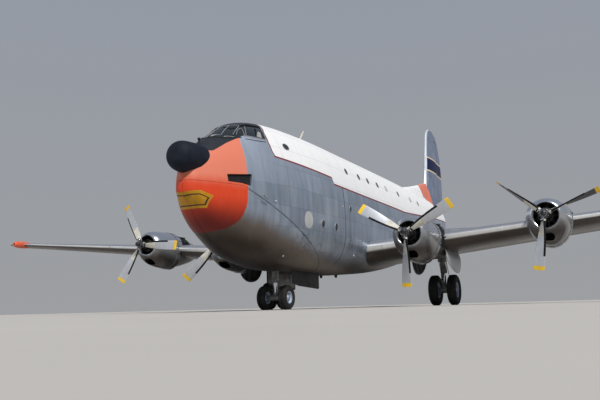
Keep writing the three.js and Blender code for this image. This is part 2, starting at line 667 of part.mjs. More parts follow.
// Half outline of a fin section: share of chord, share of half thickness
const FIN_FOIL = [[0, 0], [0.02, 0.4], [0.1, 0.82], [0.25, 1], [0.45, 0.95], [0.6, 0.78], [1, 0.06]];
function finRing([z, lead, trail, half]) {
  const sides = FIN_FOIL.map(([u, w]) => [w * half, lead + u * (trail - lead), z]);
  const other = FIN_FOIL.slice(1).reverse().map(([u, w]) => [-w * half, lead + u * (trail - lead), z]);
  return [...sides, ...other];
}
function rudderRing(z, grow) {
  const [, , trail, half] = between(FIN, z);
  const radius = half * 0.72 + grow;
  const swing = grow > 0 ? 0 : 27;
  const arc = [swing - 90, -120, -150, 180, 150, 120, 90 - swing].map((deg) => {
    const angle = deg * Math.PI / 180;
    return [radius * Math.sin(angle), FIN_HINGE + radius * Math.cos(angle), z];
  });
  const wide = radius + CUT_OVER;
  const edge = grow > 0
    ? [[wide, FIN_HINGE, z], [wide, trail + 1, z], [-wide, trail + 1, z], [-wide, FIN_HINGE, z]]
    : [[half * 0.06, trail, z], [-half * 0.06, trail, z]];
  return [...arc, ...edge];
}
const rudderHeights = [RUDDER_LOW, 9.9, 11.5, 13.0, RUDDER_HIGH];
const rudderCut = loft([RUDDER_LOW - RUN, 9.9, 11.5, 13.0, RUDDER_HIGH + RUN].map((z) => rudderRing(z, RUN)));
const RUDDER_PIN = 0.04;
const rudderBore = boreFor([0, FIN_HINGE, 8.2], [0, FIN_HINGE, RUDDER_HIGH + 0.18], RUDDER_PIN, PIN_SIDES);
// Dorsal ridge ahead of the fin: station, half width, height over the body
const DORSAL = [[27.2, 0.05, 8.2], [29.2, 0.12, 8.46], [31.7, 0.2, 8.86], [33.8, 0.26, 9.3], [35.3, 0.3, 9.85]];
const dorsal = loft(DORSAL
  .map(([s, half, top]) => [
    [half, s, 7.9], [half * 0.9, s, (7.9 + top) / 2], [half * 0.45, s, top - 0.1],
    [0, s, top], [-half * 0.45, s, top - 0.1], [-half * 0.9, s, (7.9 + top) / 2], [-half, s, 7.9],
  ]));
const finBase = box(-0.22, 0.22, 37.0, 39.1, 7.4, RUDDER_LOW - RUN);
const fin = loft(FIN.map(finRing)).subtract(rudderCut).add(dorsal).add(finBase)
  .subtract(bodySeat).subtract(rudderBore);
addPart('fin', fin, 0x8f9498, 0.45, 0.5);
const rudder = loft(rudderHeights.map((z) => rudderRing(z, 0)))
  .add(rod([0, FIN_HINGE, RUDDER_LOW - 0.1], [0, FIN_HINGE, RUDDER_HIGH + 0.15], RUDDER_PIN, PIN_SIDES));
addPart('rudder', rudder, 0x8f9498, 0.45, 0.5);

// Tailplane
function tailAt(x) {
  const t = x / TAIL_HALF;
  const chord = TAIL_CHORD + (TAIL_TIP_CHORD - TAIL_CHORD) * t;
  return {
    lead: TAIL_LE + TAIL_SWEEP * x,
    chord,
    thick: chord * 0.13,
    z: TAIL_Z,
    pitch: 0,
    nose: 0.24,
  };
}
const TAIL_FOIL_STATIONS = [0.1, 5.5, TAIL_HALF - 0.25, TAIL_HALF];
const tailLoft = loft(TAIL_FOIL_STATIONS.map((x, row) => {
  const place = tailAt(x);
  const share = row === 3 ? 0.45 : 1;
  return foilRing({
    ...place,
    lead: place.lead + place.chord * (1 - share) * 0.4,
    chord: place.chord * (0.35 + 0.65 * share),
    thick: place.thick * share,
  }, 0).map(([s, z]) => [x, s, z]);
}));
const ELEVATOR_LIFT = 0.015;
const ELEVATOR_PIN = 0.03;
const elevatorCut = movable(tailAt, [0, ELEVATOR_OUT + RUN], ELEVATOR_LINE, ELEVATOR_LIFT, RUN);
const elevatorBore = boreFor(hingeAt(tailAt, ELEVATOR_IN - 0.18, ELEVATOR_LINE, ELEVATOR_LIFT),
  hingeAt(tailAt, ELEVATOR_OUT + 0.18, ELEVATOR_LINE, ELEVATOR_LIFT), ELEVATOR_PIN, PIN_SIDES);
const innerPad = loft([0.1, ELEVATOR_IN - RUN].map((x) => {
  const place = tailAt(x);
  return foilRing({ ...place, chord: place.chord * 0.8 }, 0).map(([s, z]) => [x, s, z]);
}));
const stabiliser = tailLoft.subtract(elevatorCut).add(innerPad).subtract(elevatorBore);
addPart('stabiliser_left', stabiliser.subtract(bodySeat), GREY, 0.38, 0.65);
addPart('stabiliser_right', mirrored(stabiliser).subtract(bodySeat), GREY, 0.38, 0.65);
const elevator = withPins(tailAt,
  movable(tailAt, [ELEVATOR_IN, ELEVATOR_OUT], ELEVATOR_LINE, ELEVATOR_LIFT, 0, 27, 27),
  ELEVATOR_IN, ELEVATOR_OUT, ELEVATOR_LINE, ELEVATOR_LIFT, 0.15, ELEVATOR_PIN);
addPart('elevator_left', elevator, GREY, 0.38, 0.65);
addPart('elevator_right', mirrored(elevator), GREY, 0.38, 0.65);

const WHEEL_SIDES = 20;
// Tyre profile around the axle: a closed loop of [radius, offset]
function tyre(radius, width, inner, at) {
  const h = width / 2;
  return turned([
    [inner, -h * 0.62], [inner + (radius - inner) * 0.5, -h], [radius, -h * 0.6], [radius, h * 0.6],
    [inner + (radius - inner) * 0.5, h], [inner, h * 0.62], [inner, -h * 0.62],
  ], WHEEL_SIDES, [1, 0, 0], at);
}
function rim(radius, width, at) {
  const h = width / 2;
  return turned([
    [0, -h * 0.4], [radius * 0.86, -h * 0.3], [radius, -h * 0.72],
    [radius, h * 0.72], [radius * 0.86, h * 0.3], [0, h * 0.4],
  ], WHEEL_SIDES, [1, 0, 0], at);
}

// Twin nose wheels on one turning axle, with the steered fork above it
const AXLE_SIDES = 10;
const NOSE_AXLE = 0.06;
const NOSE_PISTON = 0.09;
const NOSE_RIM = 0.28;
const noseAt = [0, NOSE_S, NOSE_R];
const noseWheels = join([
  rim(NOSE_RIM - SEAT, NOSE_W, [NOSE_TRACK, NOSE_S, NOSE_R]),
  rim(NOSE_RIM - SEAT, NOSE_W, [-NOSE_TRACK, NOSE_S, NOSE_R]),
  rod([-NOSE_TRACK, NOSE_S, NOSE_R], [NOSE_TRACK, NOSE_S, NOSE_R], NOSE_AXLE, AXLE_SIDES),
]);
addPart('nose_wheels', noseWheels, 0x8fa0b4, 0.5, 0.2);
addPart('nose_tyre_left', tyre(NOSE_R, NOSE_W, NOSE_RIM, [NOSE_TRACK, NOSE_S, NOSE_R]), 0x1a1a1a, 0.9, 0);
addPart('nose_tyre_right', tyre(NOSE_R, NOSE_W, NOSE_RIM, [-NOSE_TRACK, NOSE_S, NOSE_R]), 0x1a1a1a, 0.9, 0);
const fork = join([
  rod([-0.27, ...noseAt.slice(1)], [0.27, ...noseAt.slice(1)], 0.13, 12),
  rod([0, NOSE_S, NOSE_R], [0, NOSE_S, 1.75], NOSE_PISTON, AXLE_SIDES),
  rod([0, NOSE_S, 1.22], [0, NOSE_S, 1.3], 0.16, 12),
  slab([[NOSE_S + 0.05, 0.55], [NOSE_S + 0.32, 0.95], [NOSE_S + 0.05, 1.26], [NOSE_S + 0.05, 1.18],
    [NOSE_S + 0.24, 0.95], [NOSE_S + 0.05, 0.65]], -0.05, 0.05),
]).subtract(boreFor([-0.4, NOSE_S, NOSE_R], [0.4, NOSE_S, NOSE_R], NOSE_AXLE, AXLE_SIDES));
addPart('nose_fork', fork, 0x9b9d9c, 0.5, 0.4);
const noseLeg = join([
  rod([0, NOSE_S, 1.312], [0, NOSE_S, BAY.top - SEAT], 0.17, 14),
  rod([-BAY.half + SEAT, NOSE_S, 2.5], [BAY.half - SEAT, NOSE_S, 2.5], 0.1, 10),
  rod([0.14, NOSE_S + 0.06, 1.75], [0.14, NOSE_S + 0.95, BAY.top - 0.1], 0.06, 8),
  rod([-0.14, NOSE_S + 0.06, 1.75], [-0.14, NOSE_S + 0.95, BAY.top - 0.1], 0.06, 8),
  box(-0.25, 0.25, NOSE_S + 0.8, NOSE_S + 1.05, BAY.top - 0.2, BAY.top - SEAT),
]).subtract(boreFor([0, NOSE_S, 1.2], [0, NOSE_S, 1.77], NOSE_PISTON, AXLE_SIDES));
addPart('nose_leg', noseLeg, 0x9b9d9c, 0.5, 0.4);

// Nose gear doors hanging at both sides of the bay
const noseGearDoor = slab([[8.75, 1.9], [11.75, 1.9], [11.75, 0.95], [9.4, 1.08], [8.75, 1.25]], 0.62, 0.66);
addPart('nose_gear_door_left', noseGearDoor.subtract(bodySeat), 0x777a7c, 0.5, 0.5);
addPart('nose_gear_door_right', mirrored(noseGearDoor).subtract(bodySeat), 0x777a7c, 0.5, 0.5);

// Main gear: leg under the wing inside the inner nacelle's well
const MAIN_AXLE = 0.09;
const MAIN_RIM = 0.42;
// Gear door sections: station, drop below the top line, bulge outwards
const GEAR_DOOR_TOP = 2.95;
const GEAR_DOOR = [
  [15.50, 0.45, 0.06],
  [15.85, 0.85, 0.14],
  [16.40, 1.15, 0.23],
  [17.10, 1.28, 0.28],
  [17.75, 1.20, 0.25],
  [18.15, 0.95, 0.16],
  [18.36, 0.55, 0.06],
];
function mainPart(side, name, build, color, roughness, metalness) {
  const part = build();
  addPart(`${name}_${side}`, side === 'left' ? part : mirrored(part), color, roughness, metalness);
}
['left', 'right'].forEach((side) => {
  mainPart(side, 'main_wheels', () => join([
    rim(MAIN_RIM - SEAT, MAIN_W, [MAIN_X - MAIN_TRACK, MAIN_S, MAIN_R]),
    rim(MAIN_RIM - SEAT, MAIN_W, [MAIN_X + MAIN_TRACK, MAIN_S, MAIN_R]),
    rod([MAIN_X - MAIN_TRACK, MAIN_S, MAIN_R], [MAIN_X + MAIN_TRACK, MAIN_S, MAIN_R], MAIN_AXLE, AXLE_SIDES),
  ]), 0x8f9aa0, 0.5, 0.3);
  mainPart(side, 'main_tyre_outer',
    () => tyre(MAIN_R, MAIN_W, MAIN_RIM, [MAIN_X + MAIN_TRACK, MAIN_S, MAIN_R]), 0x1a1a1a, 0.9, 0);
  mainPart(side, 'main_tyre_inner',
    () => tyre(MAIN_R, MAIN_W, MAIN_RIM, [MAIN_X - MAIN_TRACK, MAIN_S, MAIN_R]), 0x1a1a1a, 0.9, 0);
  mainPart(side, 'main_leg', () => join([
    rod([MAIN_X - 0.21, MAIN_S, MAIN_R], [MAIN_X + 0.21, MAIN_S, MAIN_R], 0.17, 12),
    rod([MAIN_X, MAIN_S, MAIN_R], [MAIN_X, MAIN_S, 1.9], 0.11, 12),
    rod([MAIN_X, MAIN_S, 1.75], [MAIN_X, MAIN_S, 3.3], 0.18, 14),
    rod([MAIN_X - WELL.half + SEAT, MAIN_S, 2.69], [MAIN_X + WELL.half - SEAT, MAIN_S, 2.69], 0.05, 10),
    rod([MAIN_X + 0.15, MAIN_S, 1.95], [MAIN_X + 0.15, MAIN_S - 0.75, 3.1], 0.07, 8),
    rod([MAIN_X - 0.15, MAIN_S, 1.95], [MAIN_X - 0.15, MAIN_S - 0.75, 3.1], 0.07, 8),
    slab([[MAIN_S - 0.1, 0.95], [MAIN_S - 0.5, 1.4], [MAIN_S - 0.1, 1.95], [MAIN_S - 0.1, 1.82],
      [MAIN_S - 0.38, 1.4], [MAIN_S - 0.1, 1.08]], MAIN_X - 0.06, MAIN_X + 0.06),
  ]).subtract(boreFor([MAIN_X - 0.3, MAIN_S, MAIN_R], [MAIN_X + 0.3, MAIN_S, MAIN_R], MAIN_AXLE, AXLE_SIDES))
    .subtract(wingSeat), 0x9b9d9c, 0.5, 0.4);
  [['outer', 1], ['inner', -1]].forEach(([place, way]) => {
    const hang = MAIN_X + way * 0.89;
    const door = loft(GEAR_DOOR.map(([s, drop, bulge]) => [
      [0, 0], [bulge, 0.45], [bulge * 0.7, 1], [bulge * 0.7 - 0.05, 1], [bulge - 0.05, 0.45], [-0.05, 0],
    ].map(([out, down]) => [hang + way * out, s, GEAR_DOOR_TOP - down * drop])));
    mainPart(side, `main_gear_door_${place}`, () => door.subtract(wingSeat), 0x8f9498, 0.45, 0.5);
  });
});

export default group;
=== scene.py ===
import math

import bmesh
import bpy
from mathutils import Matrix, Vector


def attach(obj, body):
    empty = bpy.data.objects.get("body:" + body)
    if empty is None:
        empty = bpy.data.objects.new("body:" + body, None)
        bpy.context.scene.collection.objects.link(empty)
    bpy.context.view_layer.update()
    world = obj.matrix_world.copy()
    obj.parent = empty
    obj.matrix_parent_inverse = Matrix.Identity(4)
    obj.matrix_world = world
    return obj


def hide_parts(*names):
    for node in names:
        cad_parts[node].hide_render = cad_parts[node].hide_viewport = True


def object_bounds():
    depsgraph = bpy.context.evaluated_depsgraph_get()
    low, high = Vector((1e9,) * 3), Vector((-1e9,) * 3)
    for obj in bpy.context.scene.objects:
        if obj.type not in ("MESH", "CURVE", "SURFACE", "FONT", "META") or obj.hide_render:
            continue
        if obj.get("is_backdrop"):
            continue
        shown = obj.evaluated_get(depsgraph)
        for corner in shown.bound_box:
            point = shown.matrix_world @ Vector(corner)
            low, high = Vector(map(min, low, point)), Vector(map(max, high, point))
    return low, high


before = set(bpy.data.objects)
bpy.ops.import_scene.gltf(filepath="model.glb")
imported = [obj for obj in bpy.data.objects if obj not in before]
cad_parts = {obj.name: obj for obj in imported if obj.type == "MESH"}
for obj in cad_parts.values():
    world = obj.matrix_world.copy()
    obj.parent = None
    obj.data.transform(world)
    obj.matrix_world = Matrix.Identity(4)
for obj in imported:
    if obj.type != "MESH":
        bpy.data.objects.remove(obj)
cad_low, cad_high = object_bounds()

# Looks of a half-size model of a four-engined military transport plane.
# Lengths are full-size metres: x to port, s the station aft of a datum just ahead of the radome,
# z the height over the floor. at() turns them into the model's own place.
SCALE = 0.5
MIDDLE = 20.425
# Running gap of everything that moves
RUN = 0.012
TURN = math.tau
SIDES = ((1, "left"), (-1, "right"))
X_WAY, S_WAY, Z_WAY = (1, 0, 0), (0, 1, 0), (0, 0, 1)
WELD = 1e-6
BEVEL_ANGLE = math.radians(40)
scene = bpy.context.scene


def at(x, s, z):
    return Vector((x * SCALE, (s - MIDDLE) * SCALE, z * SCALE))


def sign(value):
    return -1.0 if value < 0 else 1.0


def hermite(a, b, slope_a, slope_b, t):
    """Smooth blend from a to b that leaves and arrives with the given slopes."""
    t2, t3 = t * t, t * t * t
    ends = (2 * t3 - 3 * t2 + 1) * a + (3 * t2 - 2 * t3) * b
    return ends + (t3 - 2 * t2 + t) * slope_a + (t3 - t2) * slope_b


def between(table, s):
    """Values between the rows of a table, by its first column, on a smooth curve."""
    i = 0
    while i < len(table) - 2 and s > table[i + 1][0]:
        i += 1
    r0, r1, r2, r3 = table[max(i - 1, 0)], table[i], table[i + 1], table[min(i + 2, len(table) - 1)]
    span = r2[0] - r1[0]
    t = min(max((s - r1[0]) / span, 0.0), 1.0)
    before, after = span / (r2[0] - r0[0]), span / (r3[0] - r1[0])
    return [hermite(b, c, (c - a) * before, (d - b) * after, t) for a, b, c, d in zip(r0, r1, r2, r3)]


def spread(first, last, count):
    return [first + (last - first) * i / (count - 1) for i in range(count)]


def smooth_path(points, steps):
    """Points on a smooth curve through the given ones, which may have any number of axes."""
    out = []
    last = len(points) - 1
    for i in range(last):
        p0, p1, p2, p3 = points[max(i - 1, 0)], points[i], points[i + 1], points[min(i + 2, last)]
        d12 = max(math.dist(p1, p2), WELD)
        before = d12 / (max(math.dist(p0, p1), WELD) + d12) if i > 0 else 1
        after = d12 / (d12 + max(math.dist(p2, p3), WELD)) if i + 1 < last else 1
        for t in (step / steps for step in range(steps)):
            axes = zip(p0, p1, p2, p3)
            out.append(tuple(hermite(b, c, (c - a) * before, (d - b) * after, t) for a, b, c, d in axes))
    out.append(tuple(points[-1]))
    return out


def circle(count, turn=0.5):
    """Cosine and sine of even steps round a circle."""
    ways = (TURN * (j + turn) / count for j in range(count))
    return [(math.cos(a), math.sin(a)) for a in ways]


def bake(piece, sharp):
    """Applies the piece's modifiers to its mesh."""
    bpy.context.view_layer.update()
    graph = bpy.context.evaluated_depsgraph_get()
    mesh = bpy.data.meshes.new_from_object(piece.evaluated_get(graph))
    piece.modifiers.clear()
    piece.data = mesh
    smooth(mesh, sharp)


def smooth(mesh, sharp):
    mesh.polygons.foreach_set("use_smooth", [True] * len(mesh.polygons))
    mesh.set_sharp_from_angle(angle=math.radians(sharp))


def soften(piece, width):
    """Rounds the piece's edges by a width in model metres."""
    soft = piece.modifiers.new("bevel", "BEVEL")
    soft.width = width
    soft.segments = 2
    soft.limit_method = "ANGLE"
    soft.angle_limit = BEVEL_ANGLE


def new_object(name, mesh, looks=()):
    for look in looks:
        mesh.materials.append(look)
    piece = bpy.data.objects.new(name, mesh)
    scene.collection.objects.link(piece)
    return piece


def mount(piece, body, replaces):
    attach(piece, body)
    if replaces:
        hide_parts(*replaces)
    return piece


def cut_away(piece, build, look, sharp):
    """Cuts a piece by a body that is then thrown away."""
    cutter = build.object("cutter", [look])
    tool = piece.modifiers.new("cut", "BOOLEAN")
    tool.operation = "DIFFERENCE"
    tool.solver = "EXACT"
    tool.object = cutter
    tool.material_mode = "TRANSFER"
    bake(piece, sharp)
    bpy.data.objects.remove(cutter)


class Build:
    """Collects bodies, in full-size metres, into the mesh of one piece."""

    def __init__(self):
        self.points, self.faces, self.looks = [], [], []

    def add(self, points, faces, looks):
        base = len(self.points)
        self.points += [tuple(p) for p in points]
        self.faces += [tuple(base + i for i in f) for f in faces]
        self.looks += looks

    def loft(self, rings, look=0, caps=True):
        """Skin over rings of equal count. The look may be a function of the ring and the point on it."""
        tone = look if callable(look) else lambda i, j: look
        count, rows = len(rings[0]), len(rings) - 1
        faces, looks = [], []
        for i in range(rows):
            for j in range(count):
                a, b = i * count + j, i * count + (j + 1) % count
                faces.append((a, a + count, b + count, b))
                looks.append(tone(i, j))
        if caps:
            faces += [tuple(range(count)), tuple(reversed(range(rows * count, (rows + 1) * count)))]
            looks += [tone(0, -1), tone(rows - 1, -1)]
        self.add([p for ring in rings for p in ring], faces, looks)

    def tube(self, path, radius, sides=10, look=0):
        path = [Vector(p) for p in path]
        rings = []
        guide = None
        for i, point in enumerate(path):
            way = (path[min(i + 1, len(path) - 1)] - path[max(i - 1, 0)]).normalized()
            guide = way.orthogonal() if guide is None else guide
            guide = (guide - way * guide.dot(way)).normalized()
            other = way.cross(guide)
            rings.append([point + (guide * c + other * q) * radius for c, q in circle(sides)])
        self.loft(rings, look)

    def lathe(self, profile, centre, axis, sides=32, look=0):
        """Turned body of (radius, height along the axis) pairs, with ends on the axis or a closed loop."""
        axis = Vector(axis).normalized()
        guide = Vector(Z_WAY if abs(axis.z) < 0.9 else S_WAY)
        side = (guide - axis * guide.dot(axis)).normalized()
        other = axis.cross(side)
        centre = Vector(centre)
        ways = [side * c + other * q for c, q in circle(sides)]
        self.loft([[centre + axis * h + way * r for way in ways] for r, h in profile], look, caps=False)

    def block(self, middle, halves, look=0, ways=(X_WAY, S_WAY, Z_WAY)):
        """Box of three half lengths about a middle."""
        across, along, up = (Vector(way) * half for way, half in zip(ways, halves))
        middle, ends = Vector(middle), (-1, 1)
        points = [middle + across * a + along * b + up * c for c in ends for b in ends for a in ends]
        faces = [(0, 2, 3, 1), (4, 5, 7, 6), (0, 1, 5, 4), (2, 6, 7, 3), (0, 4, 6, 2), (1, 3, 7, 5)]
        self.add(points, faces, [look] * len(faces))

    def box(self, x0, x1, s0, s1, z0, z1, look=0):
        low, high = Vector((x0, s0, z0)), Vector((x1, s1, z1))
        self.block((low + high) / 2, (high - low) / 2, look)

    def prism(self, outline, x0, x1, look=0):
        """Plate of an outline given in the s-z plane."""
        self.loft([[(x, s, z) for s, z in outline] for x in (x0, x1)], look)

    def sheet(self, point, us, vs, out, thick, look=0):
        """Thin closed plate over a grid of two parameters on a curved surface."""
        points = [point(u, v, level) for level in (out, out - thick) for u in us for v in vs]
        nu, nv = len(us), len(vs)
        faces = []
        for i in (*range(nu - 1), *range(nu, 2 * nu - 1)):
            for a in range(i * nv, i * nv + nv - 1):
                faces.append((a, a + 1, a + nv + 1, a + nv))
        edge = [i * nv for i in range(nu)] + [(nu - 1) * nv + j for j in range(1, nv)]
        edge += [i * nv + nv - 1 for i in range(nu - 2, -1, -1)] + list(range(nv - 2, 0, -1))
        faces += [(a, b, b + nu * nv, a + nu * nv) for a, b in zip(edge, edge[1:] + edge[:1])]
        self.add(points, faces, [look] * len(faces))

    def flipped(self):
        """The mirror image about the middle plane."""
        out = Build()
        out.add([(-x, s, z) for x, s, z in self.points], [tuple(reversed(f)) for f in self.faces], self.looks)
        return out

    def sided(self, side):
        return self if side in (1, "left") else self.flipped()

    def both_sides(self):
        other = self.flipped()
        self.add(other.points, other.faces, other.looks)
        return self

    def object(self, name, looks):
        mesh = bpy.data.meshes.new(name)
        mesh.from_pydata([at(*p) for p in self.points], [], self.faces)
        piece = new_object(name, mesh, looks)
        mesh.polygons.foreach_set("material_index", self.looks)
        bm = bmesh.new()
        bm.from_mesh(mesh)
        bmesh.ops.remove_doubles(bm, verts=bm.verts, dist=WELD)
        bmesh.ops.recalc_face_normals(bm, faces=bm.faces)
        bm.to_mesh(mesh)
        bm.free()
        return piece

    def make(self, name, looks, slot, replaces=(), body="airframe", sharp=38, bevel=0.0):
        piece = self.object(name, looks)
        if bevel:
            soften(piece, bevel * SCALE)
            bake(piece, sharp)
        else:
            smooth(piece.data, sharp)
        return mount(piece, body, replaces)


# Materials


class Value:
    """A number that shader nodes work out, with arithmetic."""

    def __init__(self, look, socket):
        self.look, self.socket = look, socket

    def __add__(self, other):
        return self.look.math("ADD", self, other)

    def __sub__(self, other):
        return self.look.math("SUBTRACT", self, other)

    def __rsub__(self, other):
        return self.look.math("SUBTRACT", other, self)

    def __mul__(self, other):
        return self.look.math("MULTIPLY", self, other)

    def __truediv__(self, other):
        return self.look.math("DIVIDE", self, other)

    __radd__, __rmul__ = __add__, __mul__


class Look:
    """A material made of nodes, with its places in full-size metres."""

    def __init__(self, name, rough=0.5, gloss=0.5):
        self.material = bpy.data.materials.new(name)
        self.material.use_nodes = True
        self.tree = self.material.node_tree
        self.tree.nodes.clear()
        self.shader = self.node("BsdfPrincipled")
        self.tree.links.new(self.shader.outputs[0], self.node("OutputMaterial").inputs[0])
        self.shader.inputs["Roughness"].default_value = rough
        self.shader.inputs["Specular IOR Level"].default_value = gloss
        x, y, z = self.parts(self.node("TexCoord").outputs["Object"])
        self.x, self.s, self.z = x / SCALE, y / SCALE + MIDDLE, z / SCALE

    def node(self, kind, *inputs, **settings):
        """New node of a kind, with its settings and its first inputs."""
        node = self.tree.nodes.new("ShaderNode" + kind)
        for key, value in settings.items():
            setattr(node, key, value)
        for socket, value in zip(node.inputs, inputs):
            self.feed(socket, value)
        return node

    def feed(self, socket, value):
        value = value.socket if isinstance(value, Value) else value
        if isinstance(value, bpy.types.NodeSocket):
            self.tree.links.new(value, socket)
        elif isinstance(value, tuple) and socket.type == "RGBA":
            socket.default_value = (*value, 1.0)
        else:
            socket.default_value = value

    def parts(self, vector):
        return [Value(self, socket) for socket in self.node("SeparateXYZ", vector).outputs]

    def math(self, operation, a, b=0.0, clamp=False):
        return Value(self, self.node("Math", a, b, operation=operation, use_clamp=clamp).outputs[0])

    def mix(self, share, a, b):
        node = self.node("Mix", share, data_type="RGBA")
        self.feed(node.inputs[6], a)
        self.feed(node.inputs[7], b)
        return node.outputs[2]

    def noise(self, size, detail=4.0, rough=0.55, stretch=(1, 1, 1)):
        """Noise from 0 to 1 with features of about the given size."""
        scaled = [axis / (size * k) for axis, k in zip((self.x, self.s, self.z), stretch)]
        node = self.node("TexNoise", self.node("CombineXYZ", *scaled).outputs[0])
        node.inputs["Scale"].default_value = 1.0
        node.inputs["Detail"].default_value = detail
        node.inputs["Roughness"].default_value = rough
        return Value(self, node.outputs["Fac"])

    def patches(self, a, b):
        """A number from 0 to 1 for each cell of two counted values."""
        cell = self.node("CombineXYZ", self.math("FLOOR", a), self.math("FLOOR", b), 0.0).outputs[0]
        return Value(self, self.node("TexWhiteNoise", cell, noise_dimensions="2D").outputs["Value"])

    def ramp(self, value, low, high, out_low=0.0, out_high=1.0):
        node = self.node("MapRange", value, low, high, out_low, out_high, interpolation_type="SMOOTHSTEP")
        return Value(self, node.outputs[0])

    def over(self, value, edge, soft=0.02):
        """1 where the value is over the edge."""
        return self.ramp(value - edge, -soft, soft)

    def near(self, value, middle, half, soft=0.012):
        """1 within a band about a value."""
        return self.ramp(self.math("ABSOLUTE", value - middle), half - soft, half + soft, 1.0, 0.0)

    def every(self, value, step, start=0.0, half=0.006, soft=0.006):
        """Thin lines at even steps of a value."""
        away = self.math("ABSOLUTE", self.math("FRACT", (value - start) / step) - 0.5)
        return self.ramp((0.5 - away) * step, half, half + soft, 1.0, 0.0)

    def inside(self, outline, u, v, soft=0.01):
        """1 within a convex outline, given anticlockwise in two values."""
        out = 1.0
        for (u0, v0), (u1, v1) in zip(outline, outline[1:] + outline[:1]):
            long = math.hypot(u1 - u0, v1 - v0)
            a, b = -(v1 - v0) / long, (u1 - u0) / long
            out = self.over(u * a + v * b, a * u0 + b * v0, soft) * out
        return out

    def either(self, *masks):
        out = masks[0]
        for mask in masks[1:]:
            out = self.math("MAXIMUM", out, mask)
        return out

    def curve(self, value, points):
        """Straight-line function through (value, result) pairs."""
        low, high = points[0][0], points[-1][0]
        least = min(p[1] for p in points)
        room = max(p[1] for p in points) - least
        node = self.node("FloatCurve")
        line = node.mapping.curves[0]
        while len(line.points) < len(points):
            line.points.new(0.5, 0.5)
        for spot, (a, b) in zip(line.points, points):
            spot.location = ((a - low) / (high - low), (b - least) / room)
            spot.handle_type = "VECTOR"
        node.mapping.update()
        self.feed(node.inputs["Value"], self.math("DIVIDE", value - low, high - low, clamp=True))
        return Value(self, node.outputs[0]) * room + least

    def blend(self, share, a, b):
        return share * (b - a) + a

    def done(self, colour, rough=None, metal=None, relief=None, depth=0.001):
        """The finished material, with a relief of a depth in model metres."""
        inputs = {"Base Color": colour, "Roughness": rough, "Metallic": metal}
        if relief:
            bump = self.node("Bump")
            bump.inputs["Strength"].default_value = 1.0
            bump.inputs["Distance"].default_value = depth
            self.feed(bump.inputs["Height"], relief)
            inputs["Normal"] = bump.outputs[0]
        for name, value in inputs.items():
            if value is not None:
                self.feed(self.shader.inputs[name], value)
        return self.material


WHITE = (0.80, 0.81, 0.83)
WORN_WHITE = (0.62, 0.64, 0.67)
METAL = (0.47, 0.54, 0.64)
METAL_DARK = (0.27, 0.32, 0.40)
# Painted sky sheen of the upper sides
METAL_SKY_SHEEN = (0.56, 0.63, 0.73)
METAL_WARM = (0.45, 0.46, 0.48)
CORAL = (0.66, 0.19, 0.12)
ORANGE = (0.60, 0.050, 0.012)
ORANGE_WORN = (0.58, 0.16, 0.10)
# Painted shade of the nose's orange low down
RED_SHADE = (0.13, 0.005, 0.002)
RED_LINE = (0.16, 0.010, 0.014)
SLATE = (0.013, 0.017, 0.024)
SLATE_PALE = (0.020, 0.024, 0.032)
# Painted brown reflection of the ground and painted shade, for the belly and the wing's underside
GROUND_REFLECTION = (0.13, 0.088, 0.055)
UMBER_SHADE = (0.026, 0.017, 0.011)
BLACK = (0.012, 0.012, 0.013)
DIRT = (0.05, 0.045, 0.04)
SHADOW = (0.03, 0.028, 0.027)
LINE_GREY = (0.08, 0.08, 0.08)
PLATE_GOLD, PLATE_PALE = (0.42, 0.205, 0.006), (0.53, 0.27, 0.012)
DISC_PALE = (0.74, 0.75, 0.75)

# Edges of the paint on the body, each as the edge's place over another axis
WHITE_FRONT = [
    (6.2, 5.9), (6.3, 5.66), (6.45, 5.46), (6.62, 5.38), (7.03, 5.37), (7.47, 5.47), (8.02, 5.91),
    (8.4, 6.25),
]
WHITE_LOW = [
    (5.0, 6.40), (10.38, 6.22), (10.5, 6.22), (10.56, 5.91), (22.0, 5.81), (24.5, 5.95), (30.0, 6.35),
    (40.0, 7.0),
]
ORANGE_REAR = [
    (2.3, 2.2), (2.9, 2.45), (3.06, 2.58), (3.11, 2.73), (3.21, 2.93), (3.35, 3.12), (3.52, 3.26),
    (3.72, 3.36), (3.94, 3.43), (4.18, 3.49), (4.7, 3.54), (5.4, 3.58), (6.16, 3.63), (6.68, 3.69),
    (7.1, 3.78),
]
GLARE_LOW = [(1.9, 6.10), (2.05, 6.12), (2.27, 6.15), (3.01, 6.58), (3.89, 7.01), (4.1, 7.1)]
# Height under which the metal takes a painted brown reflection of the ground, deepening into painted shade
GROUND_REFLECTION_HIGH = [
    (0, 4.1), (3.2, 3.95), (5, 3.55), (7, 3.05), (9, 2.65), (12, 2.4), (16, 2.6), (22, 3.3), (30, 4.6),
    (40, 6.4),
]
# Nose plate in the front view, half of it: x and z, anticlockwise
PLATE_EDGE = [(-0.2, 3.84), (0.58, 3.87), (0.81, 4.33), (0.55, 4.50), (-0.2, 4.39)]
PLATE_LINE = [(-0.2, 3.925), (0.575, 3.96), (0.715, 4.24), (0.525, 4.375), (-0.2, 4.28)]
PLATE_FIELD = [(-0.2, 3.965), (0.55, 4.0), (0.67, 4.23), (0.51, 4.335), (-0.2, 4.24)]
PLATE_REAR = 2.6
DISC_S, DISC_Z, DISC_R = 7.58, 3.88, 0.38
# Drips of dirt: station, half width, bottom and top
DRIPS = [
    (8.97, 0.18, 2.4, 3.8), (10.43, 0.18, 2.4, 3.8), (12.45, 0.16, 3.5, 4.8), (7.3, 0.9, 2.2, 3.2),
    (13.9, 0.5, 2.3, 3.1),
]
PANEL_LONG, PANEL_TALL, RIVET_STEP = 1.52, 0.86, 0.07
FORWARD_JOINT, REAR_JOINT = 11.6, 21.2
# Slanting seam of the nose doors: a point on it and its drop aft
SEAM_S, SEAM_Z, SEAM_DROP = 4.8, 4.24, 0.419


